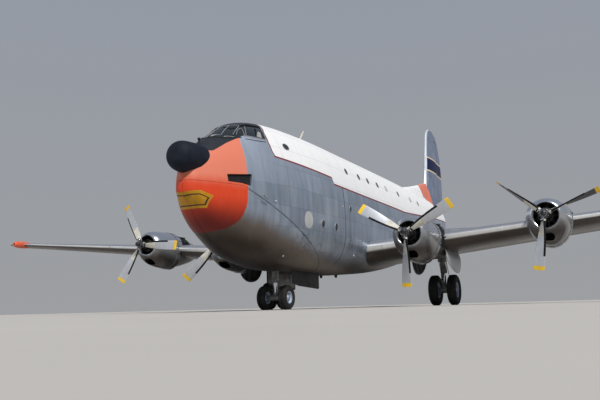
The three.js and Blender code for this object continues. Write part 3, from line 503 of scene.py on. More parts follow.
def bare_body(look, cloud, streak):
    """Bare metal of the body in patches, with a painted sky sheen high up, a painted brown ground reflection
    and painted shade low down, its dirt and its disc.
    """
    s, z = look.s, look.z
    patch = look.patches(s / PANEL_LONG, z / PANEL_TALL)
    patch2 = look.patches((s + 0.4) / (PANEL_LONG / 2), z / (PANEL_TALL * 2))
    wide_streak = look.noise(0.7, 4, 0.55, stretch=(1, 1, 6))
    tone = patch * 0.15 + patch2 * 0.09 + streak * 0.55 + wide_streak * 0.5
    metal = look.mix(look.ramp(tone, 0.4, 0.95), METAL_DARK, METAL)
    metal = look.mix(look.ramp(cloud, 0.45, 0.8, 0.0, 0.3), metal, METAL_WARM)
    # Painted sky sheen on the upper sides, strongest towards the nose
    metal = look.mix(look.ramp(z, 4.6, 6.6) * look.ramp(s, 14.0, 4.0, 0.1, 0.65), metal, METAL_SKY_SHEEN)
    # Painted brown reflection of the ground, then painted shade, low down
    depth = wide_streak * 0.5 + look.curve(s, GROUND_REFLECTION_HIGH) - z
    metal = look.mix(look.ramp(depth, 0.0, 0.75, 0.0, 0.85), metal, GROUND_REFLECTION)
    metal = look.mix(look.ramp(depth, 0.55, 1.45, 0.0, 0.9), metal, UMBER_SHADE)
    rooms = [
        look.near(s, middle, half, 0.12) * look.near(z, (low + high) / 2, (high - low) / 2, 0.3)
        for middle, half, low, high in DRIPS
    ]
    drips = look.ramp(look.noise(0.10, 3, 0.6, stretch=(1, 1, 14)), 0.5, 0.72)
    metal = look.mix(drips * look.either(*rooms) * 0.75, metal, (0.055, 0.05, 0.045))
    seam = s * SEAM_DROP + z - (SEAM_Z + SEAM_S * SEAM_DROP)
    seam_dirt = look.near(seam, 0.0, 0.02, 0.04) * look.near(s, 5.75, 2.35, 0.1)
    metal = look.mix(seam_dirt * look.ramp(streak, 0.3, 0.6, 0.3, 0.9), metal, DIRT)
    metal = look.mix(look.near(s, FORWARD_JOINT, 0.03, 0.015) * 0.97, metal, SHADOW)
    away = look.math("POWER", s - DISC_S, 2) + look.math("POWER", z - DISC_Z, 2)
    return look.mix(look.over(DISC_R, look.math("SQRT", away), 0.012), metal, DISC_PALE)


def nose_paint(look, cloud, streak):
    """Orange of the nose, with painted shade turning it deep red low down."""
    high = cloud * 0.5 + look.z
    orange = look.mix(look.ramp(high, 4.9, 5.5), ORANGE, CORAL)
    # Painted shade: the orange darkens to deep red low down
    orange = look.mix(look.ramp(high, 4.75, 3.5), orange, RED_SHADE)
    worn = look.ramp(streak, 0.5, 0.85, 0.0, 0.35) * look.ramp(look.z, 3.6, 4.6)
    return look.mix(worn, orange, ORANGE_WORN)


def body_paint():
    look = Look("body_paint", gloss=0.3)
    s, z = look.s, look.z
    cloud = look.noise(1.1, 5)
    streak = look.noise(0.22, 5, 0.6, stretch=(1, 1, 9))
    white_front, white_low = look.curve(z, WHITE_FRONT), look.curve(s, WHITE_LOW)
    upper = look.over(s, white_front, 0.015) * look.over(z, white_low, 0.012)
    white = look.mix(look.ramp(streak, 0.4, 0.8, 0.0, 0.22), WHITE, WORN_WHITE)
    colour = look.mix(upper, bare_body(look, cloud, streak), white)
    line = look.either(
        look.near(z, white_low, 0.04) * look.over(s, 5.42, 0.02),
        look.near(s, white_front, 0.035) * look.over(z, 6.4, 0.05),
    )
    colour = look.mix(line, colour, RED_LINE)
    nose = look.over(look.noise(0.35, 4) * 0.08 + look.curve(z, ORANGE_REAR) - 0.04, s, 0.035)
    colour = look.mix(nose, colour, nose_paint(look, cloud, streak))

    side, front = look.math("ABSOLUTE", look.x), look.over(PLATE_REAR, s)
    gold = look.mix(look.ramp(look.noise(0.25, 4), 0.4, 0.7), PLATE_GOLD, PLATE_PALE)
    colour = look.mix(look.inside(PLATE_EDGE, side, z) * front, colour, gold)
    ring = look.inside(PLATE_LINE, side, z) * (1.0 - look.inside(PLATE_FIELD, side, z))
    colour = look.mix(ring * front, colour, BLACK)
    glare = look.over(z, look.curve(s, GLARE_LOW), 0.015) * look.over(4.4, s, 0.02)
    glare = look.either(glare, look.over(z, 7.5, 0.03) * look.over(white_front - 0.06, s, 0.02))
    colour = look.mix(glare, colour, look.mix(look.ramp(cloud, 0.4, 0.7), SLATE, SLATE_PALE))

    lines = look.either(
        look.every(s, PANEL_LONG) * look.over(s, 3.2),
        look.every(z, PANEL_TALL) * look.over(s, 5.2),
    )
    colour = look.mix(lines * 0.3, colour, LINE_GREY)
    paint = look.either(upper, nose, glare)
    rough = look.blend(paint, look.blend(streak, 0.36, 0.54), look.blend(cloud, 0.36, 0.58))
    rivets = look.either(
        look.every(s, PANEL_LONG / 2, 0.06, 0.012, 0.01) * look.every(z, RIVET_STEP, 0.0, 0.012, 0.012),
        look.every(z, PANEL_TALL, 0.06, 0.012, 0.01) * look.every(s, RIVET_STEP, 0.0, 0.012, 0.012),
    )
    fine = look.noise(0.05, 3, 0.6, stretch=(1, 1, 5))
    relief = rivets * 0.5 - lines + cloud * 1.2 + fine * 0.15
    return look.done(colour, rough, (1.0 - look.either(paint, line)) * 0.8, relief, 0.0012)


def aluminium(name, tint, dark, rough, metal=0.8, panel=(9.0, 9.0), under=None, turn=None, roof=None):
    """Bare skin in panels of slightly different tone, with painted shade where it faces down and, when asked,
    a painted sheen where it faces up.
    """
    look = Look(name, gloss=0.3)
    x, s = look.x, look.s
    cloud = look.noise(0.9, 5)
    streak = look.noise(0.2, 4, 0.6, stretch=(1, 8, 3))
    tone = look.patches(x / panel[0], (s + 0.3) / panel[1]) * 0.4 + streak * 0.6
    colour = look.mix(look.ramp(tone, 0.2, 0.9), dark, tint)
    colour = look.mix(look.ramp(cloud, 0.5, 0.8, 0.0, 0.3), colour, tuple(c * 0.85 for c in dark))
    if under:
        # Painted light by the way a face looks: a painted sheen on upward faces, and painted shade on
        # downward faces, which also lose their metal
        upward = look.parts(look.node("NewGeometry").outputs["Normal"])[2]
        if roof:
            sheen = look.mix(tone, tuple(c * 0.8 for c in roof), roof)
            colour = look.mix(look.ramp(upward, 0.3, 0.85), colour, sheen)
        down = look.ramp(upward, *turn)
        colour = look.mix(down * 0.95, colour, look.mix(streak, under, tuple(c * 1.7 for c in under)))
        metal = (1.0 - down * 0.85) * metal
    lines = look.either(look.every(x, panel[0], 0.0, 0.005), look.every(s, panel[1], -0.3, 0.005))
    colour = look.mix(lines * 0.3, colour, grey(0.06))
    return look.done(colour, look.blend(cloud, *rough), metal, cloud * 0.8 - lines)


def plain_paint(name, tint, worn, rough=0.5, metal=0.0, size=0.25, gloss=0.5):
    """Paint or plastic with soft wear."""
    look = Look(name, gloss=gloss)
    cloud, fine = look.noise(size, 6, 0.6), look.noise(size * 0.12, 4, 0.6)
    colour = look.mix(look.ramp(cloud, 0.42, 0.72), tint, worn)
    colour = look.mix(look.ramp(fine, 0.62, 0.8, 0.0, 0.5), colour, tuple(c * 0.6 for c in worn))
    return look.done(colour, look.blend(cloud, rough - 0.08, rough + 0.12), metal, cloud * 0.5 + fine, 0.0006)


def glass_look():
    look = Look("window_glass", gloss=0.35)
    smear = look.noise(0.4, 4)
    colour = look.mix(smear, (0.008, 0.011, 0.014), (0.024, 0.031, 0.038))
    return look.done(colour, look.blend(smear, 0.08, 0.2))


def grey(level):
    return (level, level, level)


BODY_PAINT = body_paint()
GLASS = glass_look()
# For these bare metals the dark tones for downward faces are painted shade, and the last tone of the wing and
# of the tail is a painted sheen on upward faces
WING_METAL = aluminium(
    "wing_metal", grey(0.84), grey(0.66), (0.25, 0.5), 0.5, (1.5, 0.9), UMBER_SHADE,
    (-0.38, -0.62), (0.32, 0.34, 0.38),
)
DOOR_METAL = aluminium("door_metal", (0.50, 0.52, 0.55), (0.40, 0.42, 0.45), (0.25, 0.5), 0.4)
TAIL_METAL = aluminium(
    "tail_metal", (0.60, 0.62, 0.65), (0.44, 0.46, 0.49), (0.25, 0.5), 0.8, (1.1, 0.8), (0.06, 0.05, 0.045),
    (0.25, -0.55), (0.40, 0.42, 0.46),
)
COWL_METAL = aluminium(
    "cowl_metal", (0.60, 0.63, 0.67), (0.46, 0.48, 0.52), (0.18, 0.30), 0.9,
    under=(0.030, 0.022, 0.017), turn=(0.25, -0.6),
)
REAR_METAL = aluminium(
    "nacelle_metal", (0.42, 0.43, 0.45), (0.30, 0.31, 0.33), (0.3, 0.5), 0.7, (9.0, 1.1),
    (0.022, 0.016, 0.012), (0.3, -0.2),
)
BLADE_METAL = aluminium(
    "blade_metal", (0.66, 0.68, 0.72), (0.50, 0.52, 0.56), (0.35, 0.5), 0.45,
    under=(0.030, 0.030, 0.034), turn=(-0.55, -0.85),
)
HULL_INSIDE = plain_paint("hull_inside", (0.22, 0.24, 0.14), (0.16, 0.17, 0.10), 0.7)
SEAL = plain_paint("seal", (0.010, 0.011, 0.013), (0.024, 0.024, 0.026), 0.8, gloss=0.2)
RADOME_BLACK = plain_paint("radome_black", (0.007, 0.011, 0.020), (0.013, 0.018, 0.028), 0.65, 0.0, 0.6, 0.15)
RUBBER = plain_paint("rubber", grey(0.012), (0.026, 0.024, 0.022), 0.82, gloss=0.3)
# Grey enamel of the gear, darkened below its own grey as painted shade
GEAR_PAINT_SHADED = plain_paint("gear_paint_shaded", (0.20, 0.205, 0.21), (0.10, 0.095, 0.09), 0.45, 0.3)
CHROME = plain_paint("chrome", (0.75, 0.76, 0.78), grey(0.6), 0.16, 1.0)
RIM_PAINT = plain_paint("rim_paint", (0.36, 0.44, 0.56), (0.16, 0.18, 0.21), 0.45, 0.1)
TIP_YELLOW = plain_paint("tip_yellow", (0.86, 0.56, 0.02), (0.70, 0.42, 0.03))
CUFF_CREAM = plain_paint("cuff_cream", (0.64, 0.63, 0.56), (0.44, 0.42, 0.36))
BOOT_BLACK = plain_paint("boot_black", (0.006, 0.006, 0.007), grey(0.014), 0.65, gloss=0.2)
HUB_STEEL = plain_paint("hub_steel", (0.035, 0.035, 0.038), grey(0.09), 0.32, 0.7)
# Engine paint, made near black as painted shade inside the cowl
ENGINE_DARK = plain_paint("engine_dark", BLACK, (0.030, 0.028, 0.026), 0.5, 0.4)
# Black of soot, hoses and dark frames, also painted shade inside the cowl mouths, chin intakes, wheel wells
# and rim holes
SOOT_AND_SHADE = plain_paint("soot_and_shade_black", (0.008, 0.008, 0.009), (0.022, 0.021, 0.020), 0.65, gloss=0.25)
ORANGE_PAINT = plain_paint("orange_paint", (0.70, 0.09, 0.03), (0.62, 0.18, 0.09))
# Pale grey of frames, rims and fittings, also a painted glint on the wiper arms and a painted patch of light
# in the cockpit
FRAME_PALE_AND_GLINT = plain_paint("frame_pale_and_glint", (0.42, 0.43, 0.44), grey(0.24), 0.4, 0.4)
FLOOR_WOOD = plain_paint("hold_floor", (0.17, 0.15, 0.12), (0.24, 0.22, 0.18), 0.7)
DECK_GREY = plain_paint("deck_grey", (0.14, 0.15, 0.16), (0.09, 0.09, 0.1), 0.7)
SEAT_CLOTH = plain_paint("seat_cloth", (0.10, 0.12, 0.08), (0.07, 0.08, 0.06), 0.9, size=0.06)
PANEL_PALE = plain_paint("panel_pale", (0.55, 0.57, 0.60), (0.42, 0.44, 0.47))
PANEL_DARK = plain_paint("panel_dark", (0.03, 0.03, 0.032), grey(0.06), 0.6)
# Dark grey inside the gear doors, darkened as painted shade
DOOR_SHADE_GREY = plain_paint("door_shade_grey", (0.032, 0.034, 0.036), grey(0.018), 0.55, 0.2, gloss=0.25)

# Body sections: station, bottom, top, half width, height of the widest line, roundness
BODY = [
    (1.12, 4.40, 5.00, 0.20, 4.66, 2.25), (1.25, 4.25, 5.50, 0.40, 4.62, 2.35),
    (1.55, 3.95, 5.98, 0.58, 4.56, 2.30), (2.00, 3.46, 6.32, 0.83, 4.48, 2.25),
    (2.60, 3.00, 6.78, 1.09, 4.40, 2.15), (3.10, 2.74, 7.10, 1.27, 4.34, 2.10),
    (3.75, 2.46, 7.50, 1.48, 4.28, 2.12), (4.60, 2.15, 7.85, 1.71, 4.22, 2.20),
    (5.70, 1.94, 8.09, 1.93, 4.15, 2.22), (7.00, 1.78, 8.22, 2.10, 4.08, 2.25),
    (8.60, 1.74, 8.26, 2.20, 4.02, 2.40), (10.6, 1.71, 8.27, 2.25, 4.00, 2.55),
    (13.3, 1.69, 8.27, 2.25, 4.00, 2.55), (16.5, 1.84, 8.27, 2.25, 4.05, 2.55),
    (19.0, 2.00, 8.26, 2.25, 4.15, 2.55), (22.0, 2.34, 8.25, 2.20, 4.35, 2.55),
    (25.5, 2.92, 8.24, 2.06, 4.75, 2.50), (29.0, 3.66, 8.21, 1.80, 5.20, 2.40),
    (32.5, 4.44, 8.17, 1.46, 5.70, 2.30), (35.5, 5.06, 8.12, 1.10, 6.15, 2.20),
    (38.2, 5.62, 8.00, 0.68, 6.60, 2.10), (39.5, 6.10, 7.72, 0.38, 6.85, 2.00),
    (40.1, 6.60, 7.25, 0.12, 6.92, 2.00),
]
BODY_FRONT, BODY_REAR = BODY[0][0], BODY[-1][0]
DOOR_TOP = 4.86
SEAM_KNEE = SEAM_S - (DOOR_TOP - SEAM_Z) / SEAM_DROP
KEEL_HALF, KEEL_FRONT = 0.95, 6.9
SKIN_POINTS = 112
SKIN_THICK = 0.09
SKIN_LOOKS = (BODY_PAINT, HULL_INSIDE)
GLASS_OUTLINE = [(2.3, 6.82), (3.3, 6.84), (3.9, 7.05), (5.28, 7.09), (5.6, 7.82), (3.6, 7.82), (2.3, 7.82)]
ROOF_HALF, ROOF_FRONT = 0.55, 3.78
NOTCH = [(2.58, 5.24), (3.82, 5.39), (3.70, 4.885), (3.25, 4.95), (2.60, 4.95)]


def seam_z(s):
    return SEAM_Z - SEAM_DROP * (s - SEAM_S)


def oval(angle, half, top, bottom, roundness, least=0.0):
    """Place on a rounded outline about its widest line."""
    c, q = math.cos(angle), math.sin(angle)
    reach = top if q > 0 else bottom
    power = 2 / roundness
    return max(half, least) * sign(c) * abs(c) ** power, max(reach, least) * sign(q) * abs(q) ** power


def ring_row(s):
    _, bottom, top, half, wide, roundness = between(BODY, s)
    ways = (TURN * (j + 0.5) / SKIN_POINTS for j in range(SKIN_POINTS))
    spots = (oval(way, half, top - wide, wide - bottom, roundness, 0.02) for way in ways)
    return [(x, s, wide + z) for x, z in spots]


def side_x(s, z):
    """Half width of the body at a station and height."""
    _, bottom, top, half, wide, roundness = between(BODY, s)
    reach = (top - wide) if z > wide else (wide - bottom)
    share = min(abs(z - wide) / reach, 1.0)
    return half * (1 - share**roundness) ** (1 / roundness)


def side_frame(s, z):
    """Place on the port side with its outward, aft and up ways."""
    step = 0.02
    lean_s = (side_x(s + step, z) - side_x(s - step, z)) / (2 * step)
    lean_z = (side_x(s, z + step) - side_x(s, z - step)) / (2 * step)
    normal = Vector((1.0, -lean_s, -lean_z)).normalized()
    aft = (Vector(S_WAY) - normal * normal.y).normalized()
    return Vector((side_x(s, z), s, z)), normal, aft, normal.cross(aft)


def cut(bm, point, normal, where):
    faces = [f for f in bm.faces if where(*f.calc_center_median())]
    edges = {e for f in faces for e in f.edges}
    verts = {v for f in faces for v in f.verts}
    bmesh.ops.bisect_plane(bm, geom=[*faces, *edges, *verts], dist=1e-5, plane_co=point, plane_no=normal)


def side_line(bm, a, b, where):
    """Cuts the skin along a straight line of the side view."""
    (s0, z0), (s1, z1) = a, b
    cut(bm, (0, s0, z0), (0, z1 - z0, s0 - s1), where)


def inside(outline, s, z):
    hit = False
    for (s0, z0), (s1, z1) in zip(outline, outline[-1:] + outline[:-1]):
        if (z0 > z) != (z1 > z) and s < (s1 - s0) * (z - z0) / (z1 - z0) + s0:
            hit = not hit
    return hit


def zone(x, s, z):
    """Which shell of the skin a place belongs to."""
    if s > FORWARD_JOINT:
        return "tail" if s > REAR_JOINT else "centre"
    if inside(GLASS_OUTLINE, s, z) and not (abs(x) < ROOF_HALF and s > ROOF_FRONT and z > 7.4):
        return "glass"
    if inside(NOTCH, s, z) and abs(x) > 0.6:
        return "notch"

    def door(grow):
        level = DOOR_TOP + grow
        keel = abs(x) < KEEL_HALF - grow and s > KEEL_FRONT + grow and z < 4
        return z < (level if s < SEAM_KNEE else min(level, seam_z(s) + grow)) and not keel

    if not door(RUN):
        return "forward"
    if door(0) and abs(x) > RUN / 2:
        return "left" if x > 0 else "right"
    return "gap"


def skin():
    """The body's skin in separate shells that meet at the real seams."""
    bm = bmesh.new()
    stations = {BODY_FRONT, 1.16, 1.2, 1.25, 1.32, 1.4, 1.48, 1.55, FORWARD_JOINT, REAR_JOINT}
    stations |= {*spread(1.65, 5.6, 41), *spread(5.8, 12.0, 26), *spread(12.5, 37.5, 51)}
    stations |= set(spread(37.8, BODY_REAR, 12))
    rows = [ring_row(s) for s in sorted(stations)]
    middle = Vector((0, BODY_FRONT, 4.69))
    base = [Vector(p) for p in rows[0]]
    for share, ahead in ((0.82, 0.012), (0.5, 0.022), (0.2, 0.026)):
        rows.insert(0, [middle + (p - middle) * share - Vector((0, ahead, 0)) for p in base])
    grid = [[bm.verts.new(p) for p in row] for row in rows]
    for low, high in zip(grid, grid[1:]):
        for j in range(SKIN_POINTS):
            k = (j + 1) % SKIN_POINTS
            bm.faces.new((low[j], high[j], high[k], low[k]))
    bm.faces.new(list(reversed(grid[0])))
    bm.faces.new(grid[-1])
    bm.normal_update()

    for grow in (0, RUN):
        cut(bm, (0, 0, DOOR_TOP + grow), Z_WAY, lambda x, s, z: s < SEAM_KNEE + 0.3 and 4.5 < z < 5.2)
        knee, end = ((s, seam_z(s) + grow) for s in (SEAM_KNEE, 11.0))
        side_line(bm, knee, end, lambda x, s, z: 3.0 < s < 11.3 and abs(z - seam_z(s)) < 0.5)
        for way, _ in SIDES:
            keel = (way * (KEEL_HALF - grow), 0, 0)
            cut(bm, keel, X_WAY, lambda x, s, z: 6.6 < s < 11.3 and z < 3)
            cut(bm, (way * RUN / 2, 0, 0), X_WAY, lambda x, s, z: s < 7.4 and z < 5 and abs(x) < 0.4)
        cut(bm, (0, KEEL_FRONT + grow, 0), S_WAY, lambda x, s, z: 6.4 < s < 7.4 and z < 3)
    for a, b in zip(GLASS_OUTLINE, GLASS_OUTLINE[1:6]):
        side_line(bm, a, b, lambda x, s, z: 2.2 < s < 6.0 and 6.5 < z < 8.1)
    for way, _ in SIDES:
        cut(bm, (way * ROOF_HALF, 0, 0), X_WAY, lambda x, s, z: 3.3 < s < 6.0 and z > 7.0)
    cut(bm, (0, ROOF_FRONT, 0), S_WAY, lambda x, s, z: 3.3 < s < 4.0 and z > 6.8)
    for i, a in enumerate(NOTCH):
        side_line(bm, a, NOTCH[i - 1], lambda x, s, z: 2.4 < s < 4.1 and 4.6 < z < 5.6)
    zones = {}
    bm.faces.ensure_lookup_table()
    for f in bm.faces:
        zones.setdefault(zone(*f.calc_center_median()), set()).add(f.index)
    return bm, zones


skin_bm, skin_zones = skin()


def shell(
    name, label, replaces, body="airframe", thick=SKIN_THICK, looks=SKIN_LOOKS, inward=0.0
):
    """Piece of the skin with a wall."""
    bm = skin_bm.copy()
    bm.faces.ensure_lookup_table()
    others = [f for f in bm.faces if f.index not in skin_zones[label]]
    bmesh.ops.delete(bm, geom=others, context="FACES")
    bm.normal_update()
    for v in bm.verts:
        v.co = at(*(v.co - v.normal * inward))
    mesh = bpy.data.meshes.new(name)
    bm.to_mesh(mesh)
    bm.free()
    piece = new_object(name, mesh, looks)
    wall = piece.modifiers.new("wall", "SOLIDIFY")
    wall.thickness = thick * SCALE
    wall.offset = -1
    wall.material_offset = 1
    wall.material_offset_rim = 0
    bake(piece, 30)
    mount(piece, body, replaces)


for label in ("forward", "centre", "tail"):
    shell(f"body_{label}", label, (f"fuselage_{label}",))
for _, side in SIDES:
    shell(f"door_skin_{side}", side, (f"nose_door_{side}",), f"nose_door_{side}")
PANES, NOTCH_LOOKS = (GLASS, GLASS), (SEAL, SEAL)
shell("cockpit_glass", "glass", ("cockpit_glazing",), thick=0.03, looks=PANES, inward=0.03)
shell("notch_floor", "notch", (), thick=0.02, looks=NOTCH_LOOKS, inward=0.085)

# Fittings on the body
RIM_WIDE = 0.035


def on_body(x, s, z, out=0.0):
    """Place on the body's surface nearest to a given one of the same station, and its outward way."""

    def level(x, s, z):
        _, bottom, top, half, wide, roundness = between(BODY, s)
        reach = (top - wide) if z > wide else (wide - bottom)
        return (abs(x / half) ** roundness + abs((z - wide) / reach) ** roundness) ** (1 / roundness), wide

    share, wide = level(x, s, z)
    spot = Vector((x / share, s, wide + (z - wide) / share))
    steps = [Vector(way) * 0.01 for way in (X_WAY, S_WAY, Z_WAY)]
    normal = Vector([level(*(spot + step))[0] - level(*(spot - step))[0] for step in steps]).normalized()
    return spot + normal * out, normal


def strip(build, path, wide, look=0, out=0.012):
    """Flat strip laid along a path on the body."""
    path = [Vector(p) for p in smooth_path(path, 5)]

    def point(i, across, level):
        place, normal = on_body(*path[i])
        way = path[min(i + 1, len(path) - 1)] - path[max(i - 1, 0)]
        return on_body(*(place + way.cross(normal).normalized() * across), level)[0]

    build.sheet(point, range(len(path)), [-wide / 2, wide / 2], out, 0.035, look)


def port(build, s, z, radius, glass=1, tall=1.0):
    """Round window with a rim on the port side, wider than tall if asked."""
    middle, normal, aft, up = side_frame(s, z)
    edge = radius + RIM_WIDE
    rim = [
        (radius, -0.03), (radius, 0.010), (radius + 0.010, 0.018), (edge - 0.01, 0.016), (edge, -0.03),
        (radius, -0.03),
    ]
    pane = [(0, -0.03), (radius + 0.004, -0.03), (radius + 0.004, 0.004), (radius * 0.6, 0.007), (0, 0.008)]
    for profile, look in ((rim, 0), (pane, glass)):
        rings = []
        for r, h in profile:
            rise = r + radius * (tall - 1) * min(r / radius, 1)
            rings.append([middle + normal * h + aft * r * c + up * rise * q for c, q in circle(32)])
        build.loft(rings, look, caps=False)


UPPER_Z, UPPER_R, SIDE_R = 6.93, 0.155, 0.17
windows = Build()
for row in ((8.97, 3.84, SIDE_R), (10.43, 3.81, SIDE_R), (12.37, 4.88, 0.15), (6.64, 7.04, 0.23, 1, 0.62)):
    port(windows, *row)
for s in (12.85, 14.64, 16.04, 17.61, 19.15, 21.51, 24.27, 26.31):
    port(windows, s, UPPER_Z, UPPER_R, 2 if s in (19.15, 24.27) else 1)
windows.both_sides().make("side_windows", [FRAME_PALE_AND_GLINT, GLASS, PANEL_PALE], "window_glass", sharp=40)

# Windshield frames: path, width and look of each strip
STRIPS = [
    ([(0.42, 3.12, 6.96), (0.37, 3.50, 7.27), (0.30, 3.96, 7.55)], 0.02, 0),
    ([(0.70, 3.58, 7.06), (0.65, 3.90, 7.31), (0.56, 4.30, 7.58)], 0.02, 0),
    (
        [(0.78, 3.72, 7.06), (0.69, 3.98, 7.32), (0.70, 4.22, 7.45), (0.81, 4.21, 7.33), (0.94, 4.10, 7.10)],
        0.016, 0,
    ),
    ([(0.98, 4.18, 7.10), (0.80, 4.40, 7.44), (0.68, 4.56, 7.62)], 0.018, 0),
    ([(1.17, 4.72, 7.11), (1.00, 4.98, 7.50), (0.88, 5.12, 7.68)], 0.022, 1),
    ([(0.04, 2.60, 6.77), (0.48, 2.98, 6.79), (0.80, 3.50, 6.89), (0.94, 3.88, 7.03)], 0.045, 1),
    ([(0.94, 4.02, 7.10), (1.14, 4.63, 7.09), (1.31, 5.30, 7.10)], 0.026, 0),
    ([(1.02, 4.04, 6.93), (1.21, 4.58, 6.94), (1.34, 5.19, 6.98)], 0.02, 1),
    (
        [(0.02, 3.77, 7.51), (0.20, 3.83, 7.51), (0.30, 4.00, 7.57), (0.41, 4.17, 7.61), (0.54, 4.36, 7.63)],
        0.024, 0,
    ),
    ([(0.56, 4.40, 7.66), (0.64, 4.80, 7.74), (0.80, 5.56, 7.82)], 0.036, 1),
    ([(1.30, 5.32, 7.10), (1.12, 5.42, 7.46), (0.86, 5.60, 7.80)], 0.028, 0),
]
# Corners of a pale patch behind the last side pane, a painted patch of light seen through the far windows:
# low front, low rear, high front, high rear
LIGHT_PATCH = [Vector(p) for p in ((1.13, 4.74, 7.14), (1.22, 5.06, 7.15), (1.01, 5.09, 7.45), (1.07, 5.20, 7.42))]
WIPERS = (((0.20, 2.74, 6.84), (0.42, 3.06, 6.95)), ((0.56, 3.12, 6.86), (0.78, 3.52, 6.94)))
frames = Build()
for row in STRIPS:
    strip(frames, *row)


def light_patch(u, v, level):
    return on_body(*LIGHT_PATCH[0].lerp(LIGHT_PATCH[1], u).lerp(LIGHT_PATCH[2].lerp(LIGHT_PATCH[3], u), v), level)[0]


# Painted patch of light on the last side pane
frames.sheet(light_patch, spread(0, 1, 4), spread(0, 1, 5), 0.006, 0.02)
# Wiper arms in the pale frame grey as a painted glint
for foot, end in WIPERS:
    middle = [(a + b) / 2 for a, b in zip(foot, end)]
    path = [on_body(*p, out)[0] for p, out in ((foot, -0.01), (foot, 0.03), (middle, 0.04), (end, 0.02))]
    frames.tube(smooth_path(path, 4), 0.012, 8)
frames.both_sides()
strip(frames, [(0.001, 2.70, 6.82), (0.001, 3.2, 7.15), (0.001, 3.77, 7.51)], 0.02, 0, 0.013)
frames.make("windshield_frames", [FRAME_PALE_AND_GLINT, SOOT_AND_SHADE], "bare_metal", sharp=40)

# Small caps on the sides: place and size
CAPS = [(1.82, 5.09, 4.41, 0.05), (1.35, 6.53, 2.29, 0.055), (2.24, 11.3, 4.9, 0.045), (2.0, 13.2, 2.6, 0.05)]
fittings = Build()
for *place, size in CAPS:
    cap = [(0, -0.02), (size, -0.02), (size, 0.012), (size * 0.6, 0.03), (size * 0.3, 0.05), (0, 0.055)]
    fittings.lathe(smooth_path(cap, 2), *on_body(*place), 18)
fittings.both_sides()
# Mast: station, height, chord and thickness
MAST = [
    (11.02, 8.22, 0.26, 0.085), (11.36, 8.55, 0.20, 0.07), (11.62, 8.85, 0.17, 0.055),
    (11.82, 9.10, 0.12, 0.035),
]
oval_ring = circle(20, 0)
rings = [[(thick / 2 * q, s + chord / 2 * c, z) for c, q in oval_ring] for s, z, chord, thick in MAST]
fittings.loft(rings, 2)
KNOB = [
    (0, 6.36), (0.075, 6.40), (0.06, 6.47), (0.035, 6.50), (0.032, 6.60), (0.055, 6.63), (0.062, 6.67),
    (0.045, 6.715), (0, 6.73),
]
fittings.lathe(smooth_path(KNOB, 3), (0, 2.2, 0), Z_WAY, 24, 1)
for s, long, deep in ((13.5, 0.34, 0.11), (15.5, 0.40, 0.12)):
    low = between(BODY, s)[1]
    blade = [(-0.5, low + 0.06), (-0.28, low - deep), (0.34, low - deep), (0.5, low + 0.06)]
    fittings.prism(smooth_path([(s + share * long, z) for share, z in blade], 4), -0.018, 0.018, 1)
fittings.make("body_fittings", [FRAME_PALE_AND_GLINT, SOOT_AND_SHADE, CUFF_CREAM], "bare_metal", sharp=40)

# Hinges of the nose doors: outer knuckles on the body, the middle one on the door
HINGE_LOW, HINGE_HIGH = (Vector((x, s, seam_z(s) + 0.006)) for x, s in ((1.73, 3.6), (2.2, 8.0)))
hinge_body, hinge_door = Build(), Build()
for share in (0.14, 0.86):
    for start, end, build in (
        (-0.17, -0.062, hinge_body), (-0.055, 0.055, hinge_door), (0.062, 0.17, hinge_body),
    ):
        loop = [
            (0, start), (0.037, start), (0.045, start + 0.008), (0.045, end - 0.008), (0.037, end),
            (0, end),
        ]
        build.lathe(loop, HINGE_LOW.lerp(HINGE_HIGH, share), HINGE_HIGH - HINGE_LOW, 20)
hinge_body.both_sides().make("hinge_knuckles_body", [BODY_PAINT], "bare_metal", sharp=35)
for _, side in SIDES:
    knuckle = hinge_door.sided(side)
    knuckle.make(f"hinge_knuckles_{side}", [BODY_PAINT], "orange_paint", (), f"nose_door_{side}", 35)

# Radome
RADOME_AT = (0, 0.55, 5.77)
radome = Build()
cap = [(0, 0), (0.23, 0.03), (0.43, 0.135), (0.55, 0.32), (0.603, 0.62), (0.62, 1.1), (0.60, 2.1)]
ring = [(0.59, 0.98), (0.622, 0.98), (0.628, 1.0), (0.628, 1.06), (0.624, 1.08), (0.59, 1.08), (0.59, 0.98)]
for profile in (smooth_path(cap, 6) + [(0.3, 2.12), (0, 2.12)], ring):
    radome.lathe(profile, RADOME_AT, S_WAY, 72)
radome.make("radome_shell", [RADOME_BLACK], "black_radome", ("radome",), sharp=50)

# Wing and tailplane: half span, then the chords at the middle plane and at the tip
WING_HALF, WING_ROOT, WING_TIP = 26.5, 6.6, 2.3
TAIL_HALF, TAIL_ROOT, TAIL_TIP = 11.2, 4.5, 2.2


def wing_at(x):
    t = min(x / WING_HALF, 1)
    chord = WING_ROOT + (WING_TIP - WING_ROOT) * t
    thick = chord * (0.225 - 0.1 * t)
    return {"lead": 14.6 + 0.08 * x, "chord": chord, "thick": thick, "z": 2.93 + 0.087 * x, "pitch": 0.083}


def tail_at(x):
    chord = TAIL_ROOT + (TAIL_TIP - TAIL_ROOT) * x / TAIL_HALF
    return {"lead": 34.9 + 0.16 * x, "chord": chord, "thick": chord * 0.13, "z": 5.87, "pitch": 0.0}


# Section as shares of the chord, and of the thickness above and below
AEROFOIL = [
    (1.0, 0.02, -0.02), (0.86, 0.12, -0.11), (0.72, 0.23, -0.20), (0.55, 0.34, -0.32), (0.38, 0.41, -0.43),
    (0.24, 0.42, -0.47), (0.12, 0.35, -0.42), (0.045, 0.24, -0.30), (0.01, 0.12, -0.15), (0.0, 0.0, 0.0),
]
UPPER, LOWER = [(u, up) for u, up, _ in AEROFOIL], [(u, low) for u, _, low in AEROFOIL[-2::-1]]
FOIL = smooth_path(UPPER + LOWER, 5)
HINGE_LIFT = 0.015
END_RUN = 0.05


